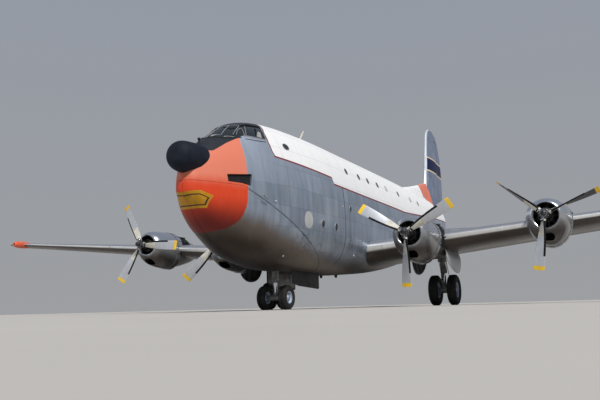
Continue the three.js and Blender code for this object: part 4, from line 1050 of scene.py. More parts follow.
def section(x, place):
    """Ring of a wing section."""
    backs = [(u * place["chord"], h * place["thick"]) for u, h in FOIL]
    return [(x, place["lead"] + back, place["z"] + h - back * place["pitch"]) for back, h in backs]


def tip_sections(place, ends, sweep, keep):
    """Sections that close a tip: places outboard with the share of size left."""
    out = []
    for x, share in ends:
        lead = place["lead"] + place["chord"] * (1 - share) * sweep
        chord = place["chord"] * (1 - keep + keep * share)
        out.append(section(x, {**place, "lead": lead, "chord": chord, "thick": place["thick"] * share}))
    return out


class Hinged:
    """A wing's hinged surface, from a hinge line and a nose radius given as shares of chord and thickness."""

    def __init__(self, place_at, inner, outer, line, nose, count, low, high):
        self.place_at, self.inner, self.outer, self.line, self.nose = place_at, inner, outer, line, nose
        self.build = Build()
        self.build.loft([self.ring(x, low, high) for x in spread(inner, outer, count)])

    def arc(self, x, low, high, grow=0.0):
        """The round nose at a place along the span, with the hinge and the radius."""
        place = self.place_at(x)
        back = self.line * place["chord"]
        s, z = place["lead"] + back, place["z"] + HINGE_LIFT * place["thick"] - back * place["pitch"]
        radius = place["thick"] * self.nose + grow
        ways = (math.radians(a) for a in spread(low - 90, -270 - high, 25))
        return place, s, z, radius, [(s + radius * math.cos(a), z + radius * math.sin(a)) for a in ways]

    def ring(self, x, low, high):
        """Section whose round nose runs on behind the hinge line by its swings."""
        place, _, _, _, arc = self.arc(x, low, high)
        edge = place["lead"] + place["chord"]
        edge_z = place["z"] - place["chord"] * place["pitch"]
        lip, ridge = 0.02 * place["thick"], 0.008 * place["thick"]
        (s0, z0), (s1, z1) = arc[0], arc[-1]
        above = ((s1 + edge) / 2, (z1 + edge_z + lip) / 2 + ridge)
        below = ((s0 + edge) / 2, (z0 + edge_z - lip) / 2 - ridge)
        return [(x, s, z) for s, z in (*arc, above, (edge, edge_z + lip), (edge, edge_z - lip), below)]

    def room(self, inner, outer):
        """Room that the surface turns in."""
        rings = []
        for x in (inner, outer):
            place, s, z, radius, arc = self.arc(x, 0, 0, RUN)
            rear, top, bottom = place["lead"] + place["chord"] + 1, z + radius + 0.3, z - radius - 0.3
            outline = [*arc, (s, top), (rear, top), (rear, bottom), (s, bottom)]
            rings.append([(x, a, b) for a, b in outline])
        room = Build()
        room.loft(rings)
        return room


TIP_X = 26.1
WING_ENDS = ((26.28, 0.92), (26.4, 0.76), (26.48, 0.56), (26.52, 0.36), (26.535, 0.2))
wing = Build()
rings = [section(x, wing_at(x)) for x in spread(1.5, TIP_X, 46)]
wing.loft(rings + tip_sections(wing_at(TIP_X), WING_ENDS, 0.45, 0.6))
wing_surfaces = {
    "flap": Hinged(wing_at, 2.75, 17.1, 0.72, 0.205, 16, 52, 0),
    "aileron": Hinged(wing_at, 17.6, 25.4, 0.72, 0.205, 10, 20, 20),
}


def hinged_skin(name, side, surface, look):
    node = f"{name}_{side}"
    surface.build.sided(side).make(f"{name}_skin_{side}", [look], "bare_metal", (node,), node, 32)


for _, side in SIDES:
    name = f"wing_skin_{side}"
    piece = wing.sided(side).make(name, [WING_METAL], "bare_metal", (f"wing_{side}",), sharp=32)
    for name, surface in wing_surfaces.items():
        room = surface.room(surface.inner - END_RUN, surface.outer + END_RUN)
        cut_away(piece, room.sided(side), WING_METAL, 32)
        hinged_skin(name, side, surface, WING_METAL)

# Lamps at the wing tips
lamps = Build()
place = wing_at(TIP_X)
bulb = smooth_path([(0, -0.14), (0.05, -0.12), (0.07, 0), (0.05, 0.12), (0, 0.14)], 4)
lamps.lathe(bulb, (26.42, place["lead"] + 0.75, place["z"]), S_WAY, 18)
lamps.both_sides().make("wing_tip_lamps", [GLASS], "window_glass", sharp=50)

# Tailplane and elevators
TAIL_ENDS = ((TAIL_HALF - 0.14, 0.9), (TAIL_HALF - 0.06, 0.72), (TAIL_HALF, 0.45))
tailplane, root = Build(), Build()
rings = [section(x, tail_at(x)) for x in spread(0.3, TAIL_HALF - 0.25, 18)]
tailplane.loft(rings + tip_sections(tail_at(TAIL_HALF - 0.1), TAIL_ENDS, 0.4, 0.65))
elevator = Hinged(tail_at, 0.98, 10.6, 0.64, 0.24, 10, 27, 27)
root_places = [(x, tail_at(x)) for x in spread(0.3, elevator.inner - RUN, 3)]
root.loft([section(x, {**place, "chord": place["chord"] * 0.8}) for x, place in root_places])
for _, side in SIDES:
    name = f"tailplane_skin_{side}"
    piece = tailplane.sided(side).make(name, [TAIL_METAL], "bare_metal", (f"stabiliser_{side}",), sharp=32)
    cut_away(piece, elevator.room(0, elevator.outer + RUN).sided(side), TAIL_METAL, 32)
    root.sided(side).make(f"tailplane_root_{side}", [TAIL_METAL], "bare_metal", sharp=32)
    hinged_skin("elevator", side, elevator, TAIL_METAL)

# Fin and rudder: height, leading edge, trailing edge, half thickness
FIN = [
    (7.2, 33.6, 39.6, 0.40), (8.3, 34.1, 40.1, 0.38), (9.9, 34.72, 40.30, 0.33), (11.5, 35.15, 40.26, 0.27),
    (13.0, 35.50, 39.90, 0.20), (13.9, 35.74, 39.40, 0.15), (14.45, 36.10, 38.85, 0.10),
    (14.72, 36.75, 38.05, 0.04),
]
FIN_HINGE, RUDDER_LOW, RUDDER_HIGH = 37.8, 8.36, 13.9
FIN_FOIL = [(0, 0), (0.02, 0.4), (0.1, 0.82), (0.25, 1), (0.45, 0.95), (0.6, 0.78), (1, 0.06)]
RUDDER_NOSE, RUDDER_SWING = 0.72, 27
BAND_Z, BAND_HALF, BAND_EDGE = 11.53, 0.50, 0.62
STRIP_WIDE = 0.2
# Slanting edges of the white paint and of the red panel: a station, its height and the slope
WHITE_EDGE, PANEL_EDGE = (32.5, 9.37, -0.89), (34.47, 9.91, -0.64)
PANEL_FOOT = [(32.0, 8.65), (33.3, 8.45), (35.6, 8.09), (37.0, 8.0)]


def fin_paint():
    look = Look("fin_paint", gloss=0.05)
    s, z = look.s, look.z
    cloud = look.noise(0.9, 5)
    streak = look.noise(0.2, 4, 0.6, stretch=(1, 3, 8))
    tone = look.patches(s / 0.9, z / 0.8) * 0.16 + streak * 0.8
    colour = look.mix(look.ramp(tone, 0.2, 0.9), (0.14, 0.18, 0.27), (0.27, 0.31, 0.40))
    band = look.near(z, BAND_Z, BAND_EDGE)
    colour = look.mix(band, colour, (0.62, 0.50, 0.34))
    colour = look.mix(look.near(z, BAND_Z, BAND_HALF), colour, (0.008, 0.014, 0.06))
    lead = look.curve(z, [row[:2] for row in FIN[1:]])
    colour = look.mix(look.over(lead + STRIP_WIDE, s, 0.02), colour, (0.60, 0.65, 0.71))
    front, rear = (z * slope + (at_s - at_z * slope) for at_s, at_z, slope in (WHITE_EDGE, PANEL_EDGE))
    foot = look.curve(s, PANEL_FOOT)
    white = look.mix(look.ramp(streak, 0.4, 0.8, 0.0, 0.2), WHITE, WORN_WHITE)
    ahead, inner = look.over(front, s, 0.012), look.over(rear, s, 0.012)
    colour = look.mix(ahead, colour, white)
    panel = look.over(s, front, 0.012) * inner * look.over(z, foot, 0.012)
    red = look.mix(look.ramp(cloud, 0.4, 0.7), (0.66, 0.19, 0.13), (0.58, 0.22, 0.16))
    colour = look.mix(panel, colour, red)
    below = look.over(foot, z, 0.012) * inner
    colour = look.mix(below, colour, white)
    lines = look.either(look.every(z, 0.8, 0.0, 0.005), look.every(s, 0.9, 0.0, 0.005))
    colour = look.mix(lines * 0.3, colour, grey(0.05))
    metal = (1.0 - look.either(ahead, panel, below, band)) * 0.25
    return look.done(colour, look.blend(cloud, 0.3, 0.5), metal, cloud * 0.8 - lines)


FIN_PAINT = fin_paint()


def fin_ring(z):
    _, lead, trail, half = between(FIN, z)
    points = [(w * half, lead + u * (trail - lead)) for u, w in smooth_path(FIN_FOIL, 5)]
    return [(x, s, z) for x, s in points + [(-x, s) for x, s in reversed(points[1:])]]


def rudder_ring(z, room=False):
    """Section of the rudder, or of the room that it turns in."""
    _, _, trail, half = between(FIN, z)
    swing = 0 if room else RUDDER_SWING
    radius = half * RUDDER_NOSE + (RUN if room else 0)
    ways = (math.radians(a) for a in spread(swing - 90, -270 - swing, 25))
    arc = [(radius * math.sin(a), FIN_HINGE + radius * math.cos(a)) for a in ways]
    wide, rear = radius + 0.3, trail + 1
    tail = [(half * 0.06, trail), (-half * 0.06, trail)]
    if room:
        tail = [(wide, FIN_HINGE), (wide, rear), (-wide, rear), (-wide, FIN_HINGE)]
    return [(x, s, z) for x, s in arc + tail]


fin, hollow, rudder = Build(), Build(), Build()
fin.loft([fin_ring(z) for z in [*spread(7.4, 13.9, 40), 14.1, 14.3, 14.45, 14.56, 14.65, 14.7, 14.72]])
piece = fin.make("fin_skin", [FIN_PAINT], "tail_paint", ("fin",), sharp=35)
hollow.loft([rudder_ring(z, True) for z in spread(RUDDER_LOW - RUN, RUDDER_HIGH + RUN, 16)])
cut_away(piece, hollow, FIN_PAINT, 35)

# Dorsal ridge: station, half width, top
DORSAL = [
    (25.4, 0.05, 8.2), (28.2, 0.13, 8.52), (30.6, 0.19, 8.92), (32.6, 0.24, 9.32), (34.3, 0.27, 9.72),
    (35.3, 0.29, 9.95),
]
DORSAL_FOOT = 7.9


def dorsal_ring(s):
    _, half, top = between(DORSAL, s)
    path = [(half, DORSAL_FOOT), (0.9 * half, (DORSAL_FOOT + top) / 2), (0.45 * half, top - 0.1), (0, top)]
    path = smooth_path(path, 5)
    return [(x, s, z) for x, z in path] + [(-x, s, z) for x, z in reversed(path[:-1])]


dorsal = Build()
dorsal.loft([dorsal_ring(s) for s in spread(DORSAL[0][0], DORSAL[-1][0], 34)])
dorsal.make("dorsal_ridge", [FIN_PAINT], "tail_paint", sharp=35)
rudder.loft([rudder_ring(z) for z in spread(RUDDER_LOW, RUDDER_HIGH, 18)])
rudder.make("rudder_skin", [FIN_PAINT], "tail_paint", ("rudder",), "rudder", 35)

# Nacelles, engines and propellers
# Propeller places with the angle of the first blade and how far each blade is turned in its socket
ENGINES = [
    (11.35, 13.0, 4.0, -99.3, (0, 50, 78)), (5.25, 11.6, 3.46, -90.9, (0, 0, 0)),
    (-5.25, 11.6, 3.46, -139.2, (-45, 0, 0)), (-11.35, 13.0, 4.0, -4.3, (-25, -35, -25)),
]
# Nacelle sections: station behind the propeller, half width, top, bottom, roundness
COWL = [
    (0.52, 0.64, 0.62, 0.66, 2.0), (0.60, 0.74, 0.70, 0.80, 2.0), (0.80, 0.88, 0.80, 1.02, 2.0),
    (1.20, 0.98, 0.86, 1.20, 2.0), (1.90, 1.02, 0.88, 1.32, 2.0), (2.70, 0.99, 0.86, 1.36, 2.0),
]
REAR_INNER = [
    (2.90, 0.92, 0.79, 1.26, 2.0), (3.60, 0.88, 0.74, 1.12, 2.4), (4.60, 0.86, 0.62, 1.06, 4.0),
    (5.80, 0.85, 0.42, 1.00, 4.4), (6.80, 0.84, 0.22, 0.94, 4.4), (7.50, 0.76, 0.05, 0.82, 4.0),
]
REAR_OUTER = [
    (2.90, 0.92, 0.79, 1.26, 2.0), (3.80, 0.80, 0.62, 1.10, 2.0), (4.80, 0.62, 0.40, 0.85, 2.0),
    (5.40, 0.46, 0.20, 0.60, 2.0),
]
# Intake ring and its inside: radius and station
MOUTH = [
    (0.7, 2.0), (0.7, 1.1), (0.63, 0.92), (0.56, 0.75), (0.556, 0.66), (0.56, 0.58), (0.575, 0.535),
    (0.605, 0.516),
]
COWL_REAR, REAR_FRONT = 2.7, 2.9
# Chin intake of the cowl: half its flat, radius of its ends, drop, and its two stations
CHIN_FLAT, CHIN_R, CHIN_DROP, CHIN_RUN = 0.14, 0.17, 0.98, (0.4, 1.75)
NACELLE_POINTS = 72
FLAPS = 18
CYLINDERS = 9
# Exhaust fairings: first angle, angle covered, first and last station
FAIRINGS, FAIRING_TURN, FAIRING_FRONT, FAIRING_REAR = (-24, 116), 88, 2.76, 4.0
MAIN_X, MAIN_S, MAIN_R, MAIN_TRACK, MAIN_W = 5.25, 18.5, 0.83, 0.51, 0.5
# Wheel well in the nacelle: half width, front, rear and top
WELL = (0.66, 15.9, 18.95, 3.2)


def nacelle_point(rows, place, back, angle, out=0.0):
    _, half, top, bottom, roundness = between(rows, back)
    x, z = oval(angle, half + out, top + out, bottom + out, roundness)
    return (place[0] + x, place[1] + back, place[2] + z)


def nacelle_ring(rows, place, back, out=0.0):
    ways = ((j + 0.5) / NACELLE_POINTS * TURN for j in range(NACELLE_POINTS))
    return [nacelle_point(rows, place, back, way, out) for way in ways]


def nacelle(number, place):
    inner = abs(place[0]) < 8
    rear = REAR_INNER if inner else REAR_OUTER
    body = Build()
    round_rows = [[(back + k, radius, radius, radius, 2.0) for k in (0, 1)] for radius, back in MOUTH]
    rings = [nacelle_ring(rows, place, rows[0][0]) for rows in round_rows]
    rings += [nacelle_ring(COWL, place, b) for b in spread(0.52, 0.8, 7) + spread(0.9, COWL_REAR, 16)]
    rings += [nacelle_ring(COWL, place, COWL_REAR, -0.02), nacelle_ring(rear, place, REAR_FRONT, -0.035)]
    behind = len(rings) - 1
    rings += [nacelle_ring(rear, place, b) for b in spread(REAR_FRONT, rear[-1][0], 22)]
    # The intake's inner rings take the black as painted shade
    body.loft(rings, lambda i, j: 1 if i < 4 else 2 if i >= behind else 0)
    looks = [COWL_METAL, SOOT_AND_SHADE, REAR_METAL]
    piece = body.make(f"cowl_{number}", looks, "polished_cowl", (f"nacelle_{number}",), sharp=32)
    # Chin intake, its cut walls black as painted shade
    chin = Build()
    outline = [(CHIN_FLAT * sign(c) + CHIN_R * c, CHIN_R * q - CHIN_DROP) for c, q in circle(40)]
    chin.loft([[(place[0] + u, place[1] + b, place[2] + w) for u, w in outline] for b in CHIN_RUN])
    cut_away(piece, chin, SOOT_AND_SHADE, 32)
    # Wheel well of an inner nacelle, its cut walls black as painted shade
    if inner:
        half, front, back, top = WELL
        well = Build()
        well.box(place[0] - half, place[0] + half, front, back, 0, top)
        cut_away(piece, well, SOOT_AND_SHADE, 32)
    cowl_trim(number, place, rear)


def cowl_trim(number, place, rear):
    """Seams and cooling flaps of the cowl, and its exhausts."""
    trim = Build()
    for b0, b1, rise in ((1.56, 1.575, 0.002), (2.29, 2.31, 0.003)):
        loop = [(b0, -0.01), (b0, rise), (b1, rise), (b1, -0.01), (b0, -0.01)]
        trim.loft([nacelle_ring(COWL, place, b, out) for b, out in loop], caps=False)

    def flap(b, a, out):
        return nacelle_point(COWL, place, b, a, out)

    for k in range(FLAPS):
        first, last = (TURN * (k + share) / FLAPS for share in (0.06, 0.94))
        trim.sheet(flap, spread(2.33, 2.74, 4), spread(first, last, 6), 0.035, 0.025)
    for start in FAIRINGS:
        ways = [math.radians(a) for a in spread(start, start + FAIRING_TURN, 16)]

        def fairing(b, a, out):
            along = (b - FAIRING_FRONT) / (FAIRING_REAR - FAIRING_FRONT)
            around = (a - ways[0]) / (ways[-1] - ways[0])
            rise = max(math.sin(math.pi * along), 0.0) ** 0.7 * max(math.sin(math.pi * around), 0.0) ** 0.5
            return nacelle_point(rear, place, b, a, out + 0.12 * rise)

        trim.sheet(fairing, spread(FAIRING_FRONT, FAIRING_REAR, 12), ways, 0.006, 0.03, 1)
        for k in range(3):
            a = math.radians(start + 23 + 21 * k)
            pipe = [nacelle_point(rear, place, b, a, out) for b, out in ((2.95, 0.10), (3.35, 0.16))]
            trim.tube(pipe, 0.045, 14, 2)
    trim.make(f"cowl_trim_{number}", [COWL_METAL, SOOT_AND_SHADE, HUB_STEEL], "polished_cowl", sharp=35)


CRANK_CASE = [
    (0, 0.28), (0.1, 0.29), (0.16, 0.33), (0.19, 0.42), (0.21, 0.55), (0.27, 0.64), (0.3, 0.75), (0.3, 1.85),
    (0.69, 1.86), (0.69, 2.0), (0, 2.0),
]
COOLING_FIN = [(0, -0.007), (0.125, -0.007), (0.125, 0.007), (0, 0.007)]


def engine(number, place):
    """Two rows of nine cylinders with cooling fins, push rods and a ring of wires."""
    front = Vector(place[:3])
    body = Build()
    body.lathe(CRANK_CASE, front, S_WAY, 48)
    aft = Vector(S_WAY)
    for turn, back in ((0, 0.98), (0.5, 1.42)):
        for c, q in circle(CYLINDERS, turn):
            out, side = Vector((c, 0, q)), Vector((-q, 0, c))
            middle = front + aft * back
            for k in range(9):
                body.lathe(COOLING_FIN, middle + out * (0.31 + k * 0.034), out, 16)
            body.tube([middle + out * 0.25, middle + out * 0.64], 0.095, 14)
            cap = middle + out * 0.63 - aft * 0.03
            for way in (-1, 1):
                foot = front + aft * 0.66 + out * 0.26 + side * 0.04 * way
                body.tube([foot, cap + side * 0.08 * way - aft * 0.05], 0.012, 8, 1)
            body.block(cap, (0.03, 0.1, 0.09), 0, (out, side, aft))
    ring = [front + Vector((0.33 * c, 0.6, 0.33 * q)) for c, q in circle(48, 0)]
    body.tube([*ring, ring[0]], 0.018, 8, 1)
    looks, replaced = [ENGINE_DARK, HUB_STEEL], (f"engine_{number}",)
    body.make(f"radial_engine_{number}", looks, "engine_metal", replaced, sharp=40)


# Blade: radius, chord, thickness and twist in degrees
BLADE = [
    (0.16, 0.25, 0.18, 60), (0.42, 0.33, 0.15, 52), (0.90, 0.44, 0.09, 38), (1.60, 0.52, 0.06, 26),
    (2.56, 0.54, 0.03, 17),
]
# Blade section from the leading edge round: shares of chord and of thickness
BLADE_FOIL = [(0.5 * c, 0.5 * q * (0.87 + 0.22 * c)) for c, q in circle(28, 0)]
BLADE_RADII = [
    0.16, 0.24, 0.33, 0.42, 0.5, 0.6, 0.7, 0.78, 0.9, 1.05, 1.2, 1.35, 1.5, 1.65, 1.78, 1.93, 2.05, 2.15,
    2.27, 2.38, 2.44, 2.5, 2.53, 2.55, 2.56,
]
TIP_SHRINK = {2.53: 0.985, 2.55: 0.93, 2.56: 0.86}
BLADE_LOOKS = [BLADE_METAL, HUB_STEEL, TIP_YELLOW, CUFF_CREAM, BOOT_BLACK, CHROME]
METAL_LOOK, HUB_LOOK, TIP_LOOK, CUFF_LOOK, BOOT_LOOK, CHROME_LOOK = range(6)
# Turned parts of the hub: radius and place along the axis
DOME = [(0, -0.42), (0.07, -0.41), (0.12, -0.37), (0.145, -0.28), (0.15, -0.17)]
HUB = [
    (0.19, -0.165), (0.2, -0.15), (0.235, -0.13), (0.24, -0.1), (0.245, 0.1), (0.235, 0.14), (0.12, 0.2),
    (0.075, 0.22), (0.075, 0.7), (0, 0.7),
]
SOCKET = [
    (0, 0.1), (0.118, 0.1), (0.118, 0.25), (0.13, 0.255), (0.13, 0.3), (0.118, 0.305), (0.118, 0.33),
    (0.1, 0.37), (0, 0.37),
]
BOLT = [(0, -0.03), (0.014, -0.03), (0.014, 0.01), (0, 0.01)]


def band(inner, outer, low, high):
    """Closed outline of a turned ring."""
    return [(inner, low), (outer, low), (outer, high), (inner, high), (inner, low)]


def blade_tone(i, j):
    """Look of a face of the blade."""
    radius = (BLADE_RADII[i] + BLADE_RADII[i + 1]) / 2
    if radius > 2.38 or j < 0:
        return TIP_LOOK
    share = (BLADE_FOIL[j][0] + BLADE_FOIL[(j + 1) % len(BLADE_FOIL)][0]) / 2
    if share > 0.29 and 0.33 < radius < 1.93:
        return BOOT_LOOK
    return CUFF_LOOK if radius < 1.05 else METAL_LOOK


def propeller(number, place):
    *centre, first, turned = place
    centre, aft = Vector(centre), Vector(S_WAY)
    body = Build()
    body.lathe(smooth_path(DOME, 4) + HUB, centre, S_WAY, 48, HUB_LOOK)
    body.lathe(band(0.152, 0.165, -0.24, -0.2), centre, S_WAY, 48, CHROME_LOOK)
    for c, q in circle(12, 0):
        body.lathe(BOLT, centre + Vector((0.215 * c, -0.14, 0.215 * q)), S_WAY, 6, CHROME_LOOK)
    for step, pitch in zip((0, 120, 240), turned):
        a = math.radians(first + step)
        out, side = Vector((math.cos(a), 0, math.sin(a))), Vector((-math.sin(a), 0, math.cos(a)))
        body.lathe(SOCKET, centre, out, 32, HUB_LOOK)
        body.lathe(band(0.119, 0.136, 0.265, 0.289), centre, out, 32, CHROME_LOOK)
        body.block(centre + out * 0.21 - aft * 0.135, (0.045, 0.03, 0.02), CHROME_LOOK, (out, side, aft))
        rings = []
        for radius in BLADE_RADII:
            _, chord, thick, twist = between(BLADE, radius)
            chord *= TIP_SHRINK.get(radius, 1.0)
            t = math.radians(twist + pitch)
            along = (side * math.cos(t) - aft * math.sin(t)) * chord
            across = (side * math.sin(t) + aft * math.cos(t)) * thick
            rings.append([centre + out * radius + along * u + across * w for u, w in BLADE_FOIL])
        body.loft(rings, blade_tone)
    name = f"propeller_{number}"
    body.make(f"blades_{number}", BLADE_LOOKS, "propeller_metal", (name,), name, 35)


for number, place in enumerate(ENGINES, 1):
    nacelle(number, place)
    engine(number, place)
    propeller(number, place)

# Wheels
WHEEL_LOOKS = [RIM_PAINT, SOOT_AND_SHADE, CHROME]
# Half of the rim's outline as shares of the radius and of the half width
RIM = [(0, 0.36), (0.3, 0.36), (0.36, 0.30), (0.8, 0.34), (0.88, 0.66), (0.99, 0.72), (1, 0.66)]
# Bulge of the tyre's side wall as shares of its depth and of the half width
TYRE = [(0.25, -0.93), (0.5, -1), (0.75, -0.93)]
GROOVE_HALF, GROOVE_FOOT, GROOVE_DEEP = 0.016, 0.01, 0.018
RIM_FIT = 0.001


def tyre(name, node, body, radius, width, inner, centre):
    """Tyre with three grooves."""
    h = width / 2
    foot = [(inner, -h * 0.6), (inner + 0.02, -h * 0.74)]
    bulge = [(inner + (radius - inner) * a, h * b) for a, b in TYRE]
    wall = smooth_path([*foot, *bulge, (radius - 0.015, -h * 0.66), (radius, -h * 0.45)], 3)
    tread = []
    for middle in (-0.28 * h, 0, 0.28 * h):
        for way in (-1, 1):
            sides = [(radius, middle + GROOVE_HALF * way), (radius - GROOVE_DEEP, middle + GROOVE_FOOT * way)]
            tread += sides[::-way]
    loop = wall + tread + [(r, -o) for r, o in reversed(wall)]
    rubber = Build()
    rubber.lathe([*loop, loop[0]], centre, X_WAY, 64)
    rubber.make(name, [RUBBER], "tyre", (node,), body, 30)


def disc(build, radius, thick, centre, way, sides, look, foot=0.0):
    """Flat round body that stands out a way from its centre."""
    build.lathe([(0, foot), (radius, foot), (radius, thick), (0, thick)], centre, way, sides, look)


def wheel(build, radius, width, centre, outward):
    """Rim with dark discs as painted shade of its holes, bolts and a hub cap on its outer side."""
    h = width / 2
    half = [(radius * a, h * b) for a, b in RIM]
    build.lathe([(r, -o) for r, o in half] + half[::-1], centre, X_WAY, 48)
    for k in range(10):
        a = TURN * k / 10
        for way in (-1, 1):
            for turn, reach, out, size, thick, sides, look in (
                (0, 0.58, 0.31, radius * 0.13, h * 0.035, 14, 1),
                (0.3, 0.8, 0.3, 0.012, 0.03, 6, 2),
            ):
                reach *= radius
                spot = Vector((way * h * out, reach * math.cos(a + turn), reach * math.sin(a + turn)))
                disc(build, size, thick, Vector(centre) + spot, (way, 0, 0), sides, look)
    cap = [(radius * a, h * b) for a, b in ((0.28, 0.3), (0.26, 0.46), (0.16, 0.54), (0, 0.56))]
    build.lathe([(0, h * 0.3), *smooth_path(cap, 3)], centre, (outward, 0, 0), 28)


def pin(build, middle, half, radius, sides, look=0):
    """Round bar across the plane, given its middle and half its length."""
    x, s, z = middle
    build.tube([(x - half, s, z), (x + half, s, z)], radius, sides, look)


NOSE_S, NOSE_R, NOSE_TRACK, NOSE_W, NOSE_RIM = 8.38, 0.55, 0.55, 0.4, 0.28
MAIN_RIM = 0.42
nose_wheels = Build()
for way, _ in SIDES:
    wheel(nose_wheels, NOSE_RIM - RIM_FIT, NOSE_W, (way * NOSE_TRACK, NOSE_S, NOSE_R), way)
pin(nose_wheels, (0, NOSE_S, NOSE_R), NOSE_TRACK, 0.06, 20, 2)
nose_wheels.make("nose_wheel_rims", WHEEL_LOOKS, "wheel_paint", ("nose_wheels",), "nose_wheels")
for way, side in SIDES:
    centre = (way * NOSE_TRACK, NOSE_S, NOSE_R)
    tyre(f"nose_rubber_{side}", f"nose_tyre_{side}", "nose_wheels", NOSE_R, NOSE_W, NOSE_RIM, centre)
for out, side in SIDES:
    body = f"main_wheels_{side}"
    rims = Build()
    for way, _ in SIDES:
        wheel(rims, MAIN_RIM - RIM_FIT, MAIN_W, (out * MAIN_X + way * MAIN_TRACK, MAIN_S, MAIN_R), way)
    pin(rims, (out * MAIN_X, MAIN_S, MAIN_R), MAIN_TRACK, 0.09, 24, 2)
    rims.make(f"main_wheel_rims_{side}", WHEEL_LOOKS, "wheel_paint", (body,), body)
    for way, place in ((1, "outer"), (-1, "inner")):
        centre, end = (out * (MAIN_X + way * MAIN_TRACK), MAIN_S, MAIN_R), f"{place}_{side}"
        tyre(f"main_rubber_{end}", f"main_tyre_{end}", body, MAIN_R, MAIN_W, MAIN_RIM, centre)

# Landing gear
GEAR_LOOKS = [GEAR_PAINT_SHADED, SOOT_AND_SHADE, CHROME]


def collar(build, middle, axis, inner, outer, half):
    lip = (outer - inner) * 0.35
    loop = [
        (inner, -half), (outer - lip, -half), (outer, -half + lip), (outer, half - lip),
        (outer - lip, half), (inner, half), (inner, -half),
    ]
    build.lathe(loop, middle, axis, 28)


def link_arm(build, start, end, wide, thick):
    """Arm of a torque link, wider at its fixed end."""
    start, end = Vector(start), Vector(end)
    across = Vector(X_WAY)
    up = (end - start).normalized().cross(across) * thick / 2
    rings = []
    for share, size in ((0, 1.0), (0.15, 1.0), (0.5, 0.72), (0.85, 0.5), (1, 0.5)):
        spot, side = start.lerp(end, share), across * wide * size / 2
        rings.append([spot + side * a + up * b for a, b in ((-1, -1), (1, -1), (1, 1), (-1, 1))])
    build.loft(rings)


def brace(build, low, high, shares, rod, case):
    """Telescopic brace: its rod ends and its case starts at the given shares of the length."""
    rod_end, case_start = shares
    build.tube([low, low.lerp(high, rod_end)], *rod, 2)
    build.tube([low.lerp(high, case_start), high], *case)


main_gear = Build()
foot, hub_at = (MAIN_X, MAIN_S, 0), (MAIN_X, MAIN_S, MAIN_R)
hub = [
    (0.092, -0.21), (0.15, -0.21), (0.17, -0.19), (0.17, 0.19), (0.15, 0.21), (0.092, 0.21), (0.092, -0.21),
]
main_gear.lathe(hub, hub_at, X_WAY, 32)
disc(main_gear, 0.11, 1.9, foot, Z_WAY, 32, 2, MAIN_R + 0.14)
barrel = [
    (0, 1.75), (0.15, 1.75), (0.18, 1.79), (0.18, 2.0), (0.165, 2.03), (0.165, 2.4), (0.18, 2.44),
    (0.18, 2.86), (0, 2.86),
]
main_gear.lathe(barrel, foot, Z_WAY, 36)
for level, outer in ((1.82, 0.2), (2.06, 0.195), (2.42, 0.2)):
    collar(main_gear, (MAIN_X, MAIN_S, level), Z_WAY, 0.15, outer, 0.03)
clamp = [(0.09, 0), (0.145, 0), (0.145, 0.06), (0.12, 0.1), (0.09, 0.1), (0.09, 0)]
main_gear.lathe(clamp, (MAIN_X, MAIN_S, MAIN_R + 0.15), Z_WAY, 32)
pin(main_gear, (MAIN_X, MAIN_S, 2.69), 0.655, 0.05, 18)
for way in (1, -1):
    low, high = Vector((MAIN_X + 0.15 * way, MAIN_S, 1.95)), Vector((MAIN_X + 0.15 * way, MAIN_S - 0.75, 3.1))
    brace(main_gear, low, high, (0.42, 0.4), (0.045, 16), (0.07, 18))
    collar(main_gear, low.lerp(high, 0.41), high - low, 0.04, 0.082, 0.03)
    main_gear.block(low, (0.03, 0.075, 0.06))
    bends = ((0.12, 0.12, 2.55), (0.17, 0.17, 2.1), (0.22, 0.24, 1.6), (0.18, 0.2, 1.15), (0.13, 0.10, 0.92))
    hose = [(MAIN_X + x * way, MAIN_S + s, z) for x, s, z in bends]
    main_gear.tube(smooth_path(hose, 5), 0.014, 8, 1)
elbow = (MAIN_X, MAIN_S - 0.45, 1.4)
for level in (1.0, 1.86):
    link_arm(main_gear, (MAIN_X, MAIN_S - 0.13, level), elbow, 0.2, 0.05)
pin(main_gear, elbow, 0.07, 0.035, 14, 1)
GEAR_DOOR_TOP = 2.95
# Gear door sections: station, drop below the top line, bulge outwards
GEAR_DOOR = [
    (15.50, 0.45, 0.06), (15.85, 0.85, 0.14), (16.40, 1.15, 0.23), (17.10, 1.28, 0.28),
    (17.75, 1.20, 0.25), (18.15, 0.95, 0.16), (18.36, 0.55, 0.06),
]
BULGE = [(0.0, 0.0), (0.2, 0.62), (0.45, 1.0), (0.75, 0.95), (1.0, 0.70)]


def gear_door(hang, way):
    door, liner = Build(), Build()

    def point(s, down, level):
        _, drop, bulge = between(GEAR_DOOR, s)
        out = bulge * between(BULGE, down)[1] + level
        return (hang + way * out, s, GEAR_DOOR_TOP - 0.1 - down * (drop - 0.1))

    stations = [15.5, *spread(15.56, 18.3, 20), 18.36]
    door.sheet(point, stations, spread(0, 1, 10), 0.0, 0.028)
    liner.sheet(point, stations[1:-1], spread(0.02, 0.97, 10), -0.026, 0.024)
    for s in (16.1, 16.8, 17.5):
        liner.sheet(point, [s - 0.03, s + 0.03], spread(0.05, 0.9, 8), -0.045, 0.04)
    return door, liner


for _, side in SIDES:
    name = f"main_strut_{side}"
    main_gear.sided(side).make(name, GEAR_LOOKS, "gear_steel", (f"main_leg_{side}",), sharp=35)
    for place, way in (("outer", 1), ("inner", -1)):
        door, liner = gear_door(MAIN_X + way * 0.89, way)
        label = f"{place}_{side}"
        replaced = (f"main_gear_door_{label}",)
        door.sided(side).make(f"main_door_skin_{label}", [DOOR_METAL], "bare_metal", replaced, sharp=40)
        liner.sided(side).make(f"main_door_liner_{label}", [DOOR_SHADE_GREY], "bare_metal", sharp=40)

